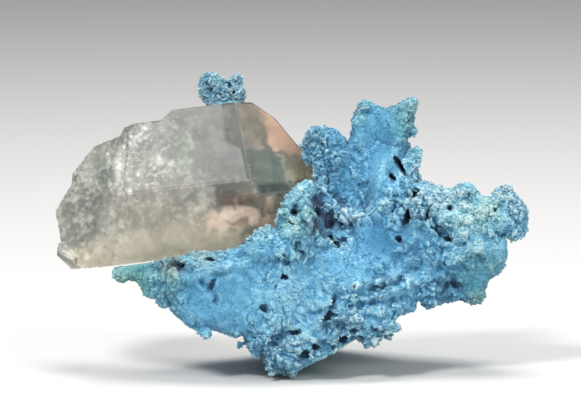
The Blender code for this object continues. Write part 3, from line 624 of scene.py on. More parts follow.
# The distance to an outline, positive inside it: a place is inside if a line from it to the right
# crosses an odd number of sides.
def outlineDistance(places, outline):
    corners = np.stack(frontPlace(*np.array(outline, float).T), 1)
    ends = np.roll(corners, -1, axis=0)
    runs = ends - corners
    crosses = (corners[:, 1] > places[:, None, 1]) != (ends[:, 1] > places[:, None, 1])
    rise = np.where(runs[:, 1] == 0, 1, runs[:, 1])
    side = corners[:, 0] + (places[:, None, 1] - corners[:, 1]) * runs[:, 0] / rise
    inside = (crosses & (places[:, None, 0] < side)).sum(1) % 2 == 1
    nearest = sidesDistance(places, corners, runs)
    return np.where(inside, nearest, -nearest)


def crustDepths(places):  # front, back and back rounding, eased between the known places
    known = np.array(crust["depths"], float)
    x, u = frontPlace(known[:, 0], known[:, 1])
    gaps = np.linalg.norm(places[:, None] - np.stack([x, u], 1)[None], axis=-1)
    weights = np.exp(-0.5 * (gaps / crust["depthReach"]) ** 2) + 1e-9
    return (weights @ known[:, 2:]) / weights.sum(1, keepdims=True)


# A measure of the front view at points, worked out once for every square of the given size in mm.
def onSquares(points, size, measure):
    squares, index = np.unique(np.round(points[:, :2] / size).astype(int), axis=0, return_inverse=True)
    return measure(squares * size)[index.ravel()]


def rimDepth(points):  # how far towards the viewer the outline lies at the points
    return onSquares(points, 2.0, lambda places: crustDepths(places)[:, 0] - crust["rimBehind"])


def frontRises(places):  # the sum of the soft rises: each is lift times a bell over its turned ellipse
    total = np.zeros(len(places))
    for across, down, lift, wide, high, turn in crust["rises"]:
        x, u = frontPlace(across, down)
        c, s = math.cos(math.radians(turn)), math.sin(math.radians(turn))
        dx, du = places[:, 0] - x, places[:, 1] - u
        total += lift * np.exp(-0.5 * (((dx * c + du * s) / wide) ** 2 + ((du * c - dx * s) / high) ** 2))
    return total


# The sum of the lines: each is lift times a bell over the distance to its nearest run, with the places
# moved by a wobble and the lift swelling and fading along it.
def frontLines(places, wobble, swell):
    total = np.zeros(len(places))
    for lift, width, line in crust["lines"]:
        total += lift * np.exp(-0.5 * (lineDistance(places + wobble, line) / width) ** 2)
    return total * swell


def aboveFront(across, down, proud):  # a point mm proud of the crust's plain front around it
    x, u = frontPlace(across, down)
    return np.array([x, u, crustDepths(np.array([[x, u]]))[0, 0] + proud])


class Grid:  # a field on a box of the front view, and the part of it around a form
    def __init__(self, low, high, cell):
        self.cell, self.low = cell, np.array(low, float)
        self.axes = [np.arange(a, b + cell, cell) for a, b in zip(low, high)]

    def around(self, low, high):
        parts = [slice(max(int((a - o) / self.cell), 0), max(int((b - o) / self.cell) + 2, 1))
                 for a, b, o in zip(low, high, self.low)]
        return tuple(parts), [a[p] for a, p in zip(self.axes, parts)]


def filling(axes):  # three axes as x, u and t that fill a box together
    return axes[0][:, None, None], axes[1][None, :, None], axes[2][None, None, :]


# Adds or takes away one form. Its distance is worked out only on the part of the grid around it, at
# places moved by the wobble, so that no form stays a plain ball or rod.
def workForm(field, grid, wobble, low, high, distance, width, takenAway=False):
    margin = 2.5
    part, axes = grid.around(np.array(low) - margin, np.array(high) + margin)
    if min(len(a) for a in axes) == 0:
        return
    form = distance(*(p + w[part] for p, w in zip(filling(axes), wobble)))
    field[part] = -melted(-field[part], form, width) if takenAway else melted(field[part], form, width)


def ballDistance(centre, radii, turn=0.0):  # about how deep inside an ellipsoid, whose turn is in the view
    c, s = math.cos(math.radians(turn)), math.sin(math.radians(turn))

    def distance(x, u, t):
        dx, du = x - centre[0], u - centre[1]
        far = np.sqrt(((dx * c + du * s) / radii[0]) ** 2 + ((du * c - dx * s) / radii[1]) ** 2
                      + ((t - centre[2]) / radii[2]) ** 2)
        return (1 - far) * min(radii)
    return distance


def rodDistance(start, end, radius):  # how deep inside a rod with round ends
    run = end - start
    length = (run * run).sum()

    def distance(x, u, t):
        share = ((x - start[0]) * run[0] + (u - start[1]) * run[1] + (t - start[2]) * run[2]) / length
        share = np.clip(share, 0, 1)
        far = (x - start[0] - share * run[0]) ** 2 + (u - start[1] - share * run[1]) ** 2
        return radius - np.sqrt(far + (t - start[2] - share * run[2]) ** 2)
    return distance


def outsideCrystal(x, u, t):  # how far outside the crystal and the gap around it: the farthest of its faces
    heart, outside = viewPoint(*crystal["centre"]), -99.0
    for normal, reach in crystalFaces():
        ahead = x * normal[0] + u * normal[1] + t * normal[2] - (normal * heart).sum() - reach - gap
        outside = np.maximum(outside, ahead)
    return outside


def facetPlace(x, u, t):  # how far behind the smooth straight face, and how far along it from -1 to 1
    left, right = (viewPoint(*end, 0) for end in crust["facetEdge"])
    length, middle, spin = np.linalg.norm(right - left), (left + right) / 2, crust["facetSpin"]
    run = (right - left) / length
    across = np.cross([0, 0, 1], run) * math.cos(spin) + np.array([0, 0, 1]) * -math.sin(spin)
    ahead = ((x - middle[0]) * run[0] + (u - middle[1]) * run[1]) / (length / 2 + 1.5)
    return (x - middle[0]) * across[0] + (u - middle[1]) * across[1] + t * across[2], ahead


# The biggest closed skin of a field on a grid, eased once.
def wholeSkin(field, grid):
    for side in (0, -1):
        field[side] = field[:, side] = field[:, :, side] = -1.0
    points, faces = biggestSkin(*skinOfField(field, grid.low, grid.cell))
    return smoothed(points, faces, 1), faces


# The crust's field: between the front and the back, both rounded off towards the outline as quarter
# circles, with knobs and rods melted on, pits and creases taken away, and the crystal's room cut out.
def crustField():
    grid = Grid(*crust["box"], crust["cell"])
    xs, us = grid.axes[:2]
    x2, u2 = np.meshgrid(xs, us, indexing="ij")
    places = np.stack([x2.ravel(), u2.ravel()], 1)
    room = outlineDistance(places, crust["outline"]).reshape(x2.shape) - crust["inwards"]
    known = crustDepths(places).reshape(*x2.shape, 3)
    sway = np.stack([noiseSum([xs, us], crust["lineSway"], n).ravel() for n in range(2)], 1)
    swell = 1.25 + noiseSum([xs, us], crust["lineSwell"]).ravel()
    rises = (frontRises(places) + frontLines(places, sway, swell)).reshape(x2.shape)
    rough = 1 - 0.75 * np.clip(spots(places, crust["smooth"]), 0, 1).reshape(x2.shape)
    ridges = 0.8 * (0.25 - np.abs(gridNoise([xs, us], 2.9, 13)))
    uneven = (noiseSum([xs, us], crust["unevenFront"]) + ridges) * rough
    rim = known[..., 0] - crust["rimBehind"]

    def rounding(reach):
        return np.sqrt(1 - (1 - np.clip(room / reach, 0, 1)) ** 2)
    front = rim + (crust["rimBehind"] + rises + uneven) * rounding(crust["frontRound"])
    back = rim + (known[..., 1] - rim) * rounding(known[..., 2])
    wobble = [noiseSum(grid.axes, crust["wobble"], n) for n in range(3)]
    x, u, t = filling(grid.axes)
    field = np.minimum(front[..., None] - t, t - back[..., None] + noiseSum(grid.axes, crust["unevenBack"]))
    tuckedIn = np.clip((rim[..., None] - 1.5 - t) / 6.0, 0, 1)  # behind the rim the sides draw in a little
    sides = room[..., None] - tuckedIn * (0.9 + noiseSum(grid.axes, crust["unevenSides"]))
    field = np.minimum(field, sides)
    for across, down, proud, *radii in crust["knobs"]:
        centre = aboveFront(across, down, proud - radii[2])
        workForm(field, grid, wobble, centre - radii, centre + radii, ballDistance(centre, radii),
                 crust["smallKnobFillet" if min(radii) < 1.5 else "knobFillet"])
    for start, end, radius in crust["rods"]:
        a, b = (aboveFront(*p[:2], p[2] - radius) for p in (start, end))
        workForm(field, grid, wobble, np.minimum(a, b) - radius, np.maximum(a, b) + radius,
                 rodDistance(a, b, radius), crust["rodFillet"])
    for across, down, proud, *radii, turn in crust["pits"]:
        centre = aboveFront(across, down, proud)
        pit = ballDistance(centre, np.array(radii) + crust["widerPits"], -turn)
        workForm(field, grid, wobble, centre - max(radii), centre + max(radii), pit, crust["pitFillet"],
                 takenAway=True)
    field = np.minimum(field, outsideCrystal(x, u, t))
    facet, ahead = facetPlace(x, u, t)
    field = np.minimum(field, np.maximum(facet, 1.5 * (np.abs(ahead) - 1) * np.ones_like(t)))
    c, s = math.cos(view["lean"]), math.sin(view["lean"])
    field = np.minimum(field, u * c + t * s - view["tipToward"] * s + 0 * x)  # the cut foot, at z = 0
    return field, grid, wobble


# The crust's skin. Three sizes of angular clumps and one of rounded lumps stand out of it along its
# outward direction, as height times level less the gap's depth times a bell over its distance, less
# where the real surface is smooth and none on the cut foot and the smooth face.
def makeCrust(look):
    field, grid, wobble = crustField()
    points, faces = wholeSkin(field, grid)
    normals = outward(points, faces)
    rough = 1 - 0.8 * np.clip(spots(points, crust["smooth"]), 0, 1) * (points[:, 2] > -16)
    world = toWorld(points)
    facet, ahead = facetPlace(*points.T)
    onFacet = (np.abs(facet) < 0.3) & (np.abs(ahead) < 1)
    free = np.clip(outsideCrystal(*points.T) / 0.8, 0, 1) * np.clip(world[:, 2] / 0.0008, 0, 1)
    free *= np.where(onFacet, 0.1, 1)
    moved = points + 1.6 * np.stack([sampled(w, grid, points) for w in wobble], 1)
    patchy = np.clip(0.8 + 2.2 * sampled(wobble[0], grid, points * 0.45), 0.1, 1.4)
    cracks = np.clip(0.45 + 2.4 * sampled(wobble[1], grid, points * 0.6), 0, 1) * rough
    lift, gaps = clumpLift(moved, crust, 3, (0.25 + 0.75 * rough) * patchy, cracks)
    lift += crust["lumpHeight"] * (lumps(moved, crust["lumpSize"], 5) - 0.65) * rough
    points = points + normals * (lift * free)[:, None]
    points[:, 1] += np.maximum(0, -toWorld(points)[:, 2]) * 1000
    turned = outward(points, faces)
    # Painted light and shade: the tone is paler on crests as a painted highlight; the hollow colour is
    # painted shade in hollows of the relief, where the skin lies far behind the general front, and in the
    # gaps between clumps.
    fine, broad = relief(points, faces, turned, 3), relief(points, faces, normals, 24)
    room = onSquares(points, 0.4, lambda places: outlineDistance(places, crust["outline"]))
    behind = behindFront(points, turned) * np.clip((points[:, 2] - rimDepth(points) + 5) / 3, 0, 1)
    behind *= np.clip((room - 1.0) / 1.5, 0, 1)
    tone, hollowShade = shading(fine, broad, crust)
    # paler and deeper spots: partly the crust's own colour, partly painted light on lit tops and painted
    # shade in hollows
    tone += 0.16 * spots(points, crust["pale"]) - 0.14 * spots(points, crust["deep"])
    attributes = {
        "tone": tone - 0.12 * onFacet,
        "hollowShade": hollowShade + np.clip(behind * 0.35 - 0.5, 0, 1) + 0.6 * gaps * free,
        "teal": spots(points, crust["teal"]) + 0.6 * onFacet, "olive": spots(points, crust["olive"]),
    }
    made = newPiece("shattuckite_crust", points, faces, look, attributes)
    away = np.nonzero((points[:, 2] < rimDepth(points) - 2) | (world[:, 2] < 1e-5))[0]
    made.vertex_groups.new(name="back").add(away.tolist(), 1.0, "REPLACE")
    thinned = made.modifiers.new("backThinned", "DECIMATE")
    thinned.ratio = crust["backKept"]
    thinned.vertex_group = "back"
    print("crust:", len(points), "points,", 2 * len(faces), "triangles before the back is thinned")
    return made, points, turned, attributes, rough * free * (behind < 0.9) * (broad > -0.5) * (1 - 0.7 * gaps)


crumbs = {
    "crust": (3, 9400, "shattuckite_crumbs", "shattuckite"),  # pieces, crumbs in each, name, slot
    "tuft": (1, 1400, "shattuckite_tuft_grains", "shattuckite_pale"),
    "least": 0.13,  # mm, their radius
    "most": 0.34,
    "sunk": 0.25,  # share of the radius that their centres lie under the skin
    "uneven": 0.34,
}


# Crumbs strewn over the crust or the tuft: a ball of 20 faces each, with its corners moved a little,
# turned at random and pressed into the skin. Where the skin is smooth they are few and small.
def makeCrumbs(look, kind, points, normals, attributes, rough):
    pieces, perPiece, name, slot = crumbs[kind]
    ball = bmesh.new()
    bmesh.ops.create_icosphere(ball, subdivisions=1, radius=1)
    corners = np.array([v.co for v in ball.verts])
    sides = np.array([[v.index for v in f.verts] for f in ball.faces])
    ball.free()
    for piece in range(pieces):
        rng = np.random.default_rng(100 + piece)
        wanted = rng.random(len(points)) < 0.25 + 0.75 * rough
        chosen = rng.permutation(np.nonzero(wanted & (rough > 0.02))[0])[:perPiece]
        size = crumbs["least"] + (crumbs["most"] - crumbs["least"]) * rng.random(len(chosen)) ** 1.6
        size = size * (0.5 + 0.5 * rough[chosen])
        turn = np.linalg.qr(rng.standard_normal((len(chosen), 3, 3)))[0]
        turn *= np.sign(np.linalg.det(turn))[:, None, None]
        shape = corners[None] * (1 + crumbs["uneven"] * rng.uniform(-1, 1, (len(chosen), len(corners), 1)))
        shape = np.einsum("nij,nkj->nki", turn, shape) * size[:, None, None]
        centres = points[chosen] + normals[chosen] * (size * (0.5 - crumbs["sunk"]))[:, None]
        place = (shape + centres[:, None]).reshape(-1, 3)
        faces = (sides[None] + np.arange(len(chosen))[:, None, None] * len(corners)).reshape(-1, 3)
        proud = ((shape * normals[chosen][:, None]).sum(-1) / size[:, None]).ravel()
        carried = {key: np.repeat(values[chosen], len(corners)) for key, values in attributes.items()}
        ownTone = np.repeat(rng.uniform(-0.05, 0.05, len(chosen)), len(corners))
        # painted highlight: corners that stand out along the skin's outward direction are paler
        carried["tone"] = carried["tone"] + 0.05 * proud + ownTone
        made = newPiece("%s_%d" % (name, piece + 1), place, faces, look, carried)
        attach(made, "root")
    print(kind, "crumbs:", pieces * perPiece)


shattuckite = {
    # colours along the tone, from deeper blue and painted shade in low places to paler blue and painted
    # highlight on crests, the two outermost stops first
    "blues": [(0.2, "#4490BC"), (0.95, "#D6F5FB"), (0.45, "#60ABD3"), (0.6, "#82C6E4"), (0.76, "#A6E2F5")],
    "teals": [(0.2, "#3F8F9C"), (0.95, "#D8F3EE"), (0.5, "#72B6B2"), (0.72, "#9FD5CE")],
    "oliveColour": "#B9BE93",
    "hollowShadeColour": "#123A5E",
    "sheenColour": "#DDF2FA",
    # the scales of its patterns, 1000 over the size in mm
    "patches": 95.0,  # 10 mm
    "mottle": 420.0,  # 2.4 mm
    "pores": 1150.0,  # 0.9 mm
    "fibreCrumbs": 2200.0,  # 0.45 mm
    "grain": 5200.0,  # 0.2 mm, coarser than the real fibres, so that it shows
    "bump": 0.0005,  # m
    "roughness": 0.82,
    "sheen": 0.25,
}


# Shattuckite, a mat of the finest fibres grown as rounded crumbs: dull and sky blue, paler on crests as a
# painted highlight, deep blue to dark in hollows as painted shade, and teal to green where it is thin.
def shattuckiteLook():
    made, tree, shader = newMaterial("shattuckite_sky_blue_fibrous")
    place = addNode(tree, "TexCoord").outputs["Object"]
    tone, tealSpots, oliveSpots, hollowShade = (addNode(tree, "Attribute", attribute_name=name).outputs["Fac"]
                                           for name in ("tone", "teal", "olive", "hollowShade"))
    mottle = addNode(tree, "TexNoise", {"Vector": place, "Scale": shattuckite["mottle"], "Detail": 5.0,
                                        "Roughness": 0.62})
    patches = addNode(tree, "TexNoise", {"Vector": place, "Scale": shattuckite["patches"], "Detail": 3.0})
    patches = patches.outputs["Fac"]
    shift = addNode(tree, "Math", {0: mottle.outputs["Fac"], 1: 0.4, 2: tone}, operation="MULTIPLY_ADD")
    shift = addNode(tree, "Math", {0: patches, 1: 0.25, 2: shift.outputs[0]}, operation="MULTIPLY_ADD")
    shift = addNode(tree, "Math", {0: shift.outputs[0], 1: 0.325}, operation="SUBTRACT")
    blue, teal = (addNode(tree, "ValToRGB", {"Fac": shift.outputs[0]}, stops=shattuckite[key])
                  for key in ("blues", "teals"))
    patchy = addNode(tree, "MapRange", {"Value": patches, "From Min": 0.3, "From Max": 0.65,
                                        "To Min": 0.3, "To Max": 1.1})
    tealShare = addNode(tree, "Math", {0: tealSpots, 1: patchy.outputs[0]}, operation="MULTIPLY",
                        use_clamp=True)
    body = addNode(tree, "Mix", {0: tealShare.outputs[0], 6: blue.outputs[0], 7: teal.outputs[0]},
                   data_type="RGBA")
    olive = addNode(tree, "Math", {0: oliveSpots, 1: 0.7}, operation="MULTIPLY", use_clamp=True)
    body = addNode(tree, "Mix", {0: olive.outputs[0], 6: body.outputs[2],
                                 7: linearColour(shattuckite["oliveColour"])}, data_type="RGBA")
    # Painted shade in pores: the centres of a Voronoi pattern, in some patches, add to the painted shade from
    # the relief and sink the bump.
    pores = addNode(tree, "TexVoronoi", {"Vector": place, "Scale": shattuckite["pores"], "Randomness": 1.0})
    pores = addNode(tree, "MapRange", {"Value": pores.outputs["Distance"], "From Min": 0.1, "From Max": 0.26,
                                       "To Min": 1.0, "To Max": 0.0})
    where = addNode(tree, "MapRange", {"Value": patches, "From Min": 0.46, "From Max": 0.62,
                                       "To Min": 0.0, "To Max": 0.8})
    pores = addNode(tree, "Math", {0: pores.outputs[0], 1: where.outputs[0]}, operation="MULTIPLY")
    hollowShade = addNode(tree, "Math", {0: hollowShade, 1: pores.outputs[0]}, operation="ADD", use_clamp=True)
    body = addNode(tree, "Mix", {0: hollowShade.outputs[0], 6: body.outputs[2],
                                 7: linearColour(shattuckite["hollowShadeColour"])}, data_type="RGBA")
    tree.links.new(body.outputs[2], shader.inputs["Base Color"])
    fibreCrumbs = addNode(tree, "TexVoronoi", {"Vector": place, "Scale": shattuckite["fibreCrumbs"]})
    grain = addNode(tree, "TexNoise", {"Vector": place, "Scale": shattuckite["grain"], "Detail": 2.0})
    height = addNode(tree, "Math", {0: fibreCrumbs.outputs["Distance"], 1: -0.7, 2: grain.outputs["Fac"]},
                     operation="MULTIPLY_ADD")
    height = addNode(tree, "Math", {0: pores.outputs[0], 1: -0.5, 2: height.outputs[0]},
                     operation="MULTIPLY_ADD")
    bump = addNode(tree, "Bump", {"Height": height.outputs[0], "Distance": shattuckite["bump"],
                                  "Strength": 1.0})
    tree.links.new(bump.outputs[0], shader.inputs["Normal"])
    shader.inputs["Roughness"].default_value = shattuckite["roughness"]
    shader.inputs["Specular IOR Level"].default_value = 0.35
    shader.inputs["Sheen Weight"].default_value = shattuckite["sheen"]
    shader.inputs["Sheen Roughness"].default_value = 0.5
    shader.inputs["Sheen Tint"].default_value = linearColour(shattuckite["sheenColour"])
    return made


tuft = {
    "box": ((-20.0, 52.0, -25.0), (-7.5, 63.0, -12.0)),  # mm, the grid's lowest and highest x, u, t
    "cell": 0.24,  # mm
    # packed clumps: size, how far they differ in height, how deep the gaps between them are, all in mm
    "clumps": [(1.7, 0.5, 0.35), (0.9, 0.3, 0.2)],
    "gapWidth": 0.45,
    "fullShadeGap": 0.2,
    "lumpSize": 1.5,
    "lumpHeight": 0.3,
    # tone and painted shade from the relief, as on the crust: paler on crests as a painted highlight, darker
    # in hollows and in the gaps between clumps as painted shade
    "plainTone": 0.62,
    "fineReliefLight": 2.4,
    "broadReliefLight": 0.4,
    "broadHollowShade": (0.6, 0.15, 1.0),
    "fineHollowShade": (1.5, 0.1, 0.5),
    "teal": 0.15,
    "wobble": [(0.4, 1.8, 60)],
    "knobFillet": 0.5,
    "pitFillet": 0.2,
    # knobs and pits: across, down, mm towards the viewer, then radii across, up and toward in mm
    "knobs": [
        (224, 103, -18, 3.6, 2.4, 3.2), (216, 97, -18, 2.6, 2.4, 2.8), (234, 97, -18, 2.2, 2.6, 2.8),
        (207, 90, -18, 1.8, 1.8, 2.2), (206, 80, -18, 1.7, 1.6, 2.0), (211, 77, -17.5, 1.6, 1.4, 2.0),
        (217, 84, -17, 1.8, 2.0, 2.4), (224, 90, -17, 2.4, 2.0, 2.6), (237, 88, -17.5, 1.5, 2.6, 2.0),
        (237, 78, -17.5, 1.3, 1.4, 1.8), (204, 85, -19, 1.2, 1.4, 1.8), (240, 95, -18.5, 1.0, 1.6, 1.8),
    ],
    "pits": [(213, 91, -15.5, 0.5, 0.5, 1.6), (229, 84, -15.5, 0.5, 0.9, 1.8), (221, 97, -15, 0.5, 0.4, 1.6),
             (232, 92, -15.5, 0.4, 0.5, 1.6), (208, 84, -16, 0.4, 0.4, 1.4)],
}


# The tuft on top of the crystal: overlapping balls melted together, with clumps and lumps standing out
# of them as on the crust.
def makeTuft(look):
    grid = Grid(*tuft["box"], tuft["cell"])
    wobble = [noiseSum(grid.axes, tuft["wobble"], n) for n in range(3)]
    field = np.full([len(a) for a in grid.axes], -3.0)
    for forms, fillet, takenAway in (("knobs", "knobFillet", False), ("pits", "pitFillet", True)):
        for across, down, toward, *radii in tuft[forms]:
            centre = viewPoint(across, down, toward)
            workForm(field, grid, wobble, centre - radii, centre + radii, ballDistance(centre, radii),
                     tuft[fillet], takenAway)
    field = np.minimum(field, outsideCrystal(*filling(grid.axes)))
    points, faces = wholeSkin(field, grid)
    free = np.clip(outsideCrystal(*points.T) / 0.6, 0, 1)
    lift, gaps = clumpLift(points + 0.3 * np.sin(points[:, [1, 2, 0]] * 3.1), tuft, 73)
    lift += tuft["lumpHeight"] * (lumps(points, tuft["lumpSize"], 71) - 0.6)
    points = points + outward(points, faces) * (lift * free)[:, None]
    normals = outward(points, faces)
    # Painted highlight on crests and painted shade in hollows and in the gaps between clumps, as on the
    # crust.
    fine, broad = relief(points, faces, normals, 3), relief(points, faces, normals, 30)
    tone, hollowShade = shading(fine, broad, tuft)
    attributes = {
        "tone": tone, "hollowShade": hollowShade + 0.3 * gaps * free,
        "teal": tuft["teal"] + 0 * fine, "olive": 0 * fine,
    }
    made = newPiece("shattuckite_tuft_crumbs", points, faces, look, attributes)
    print("tuft:", len(points), "points")
    return made, points, normals, attributes, free * (1 - 0.8 * gaps)


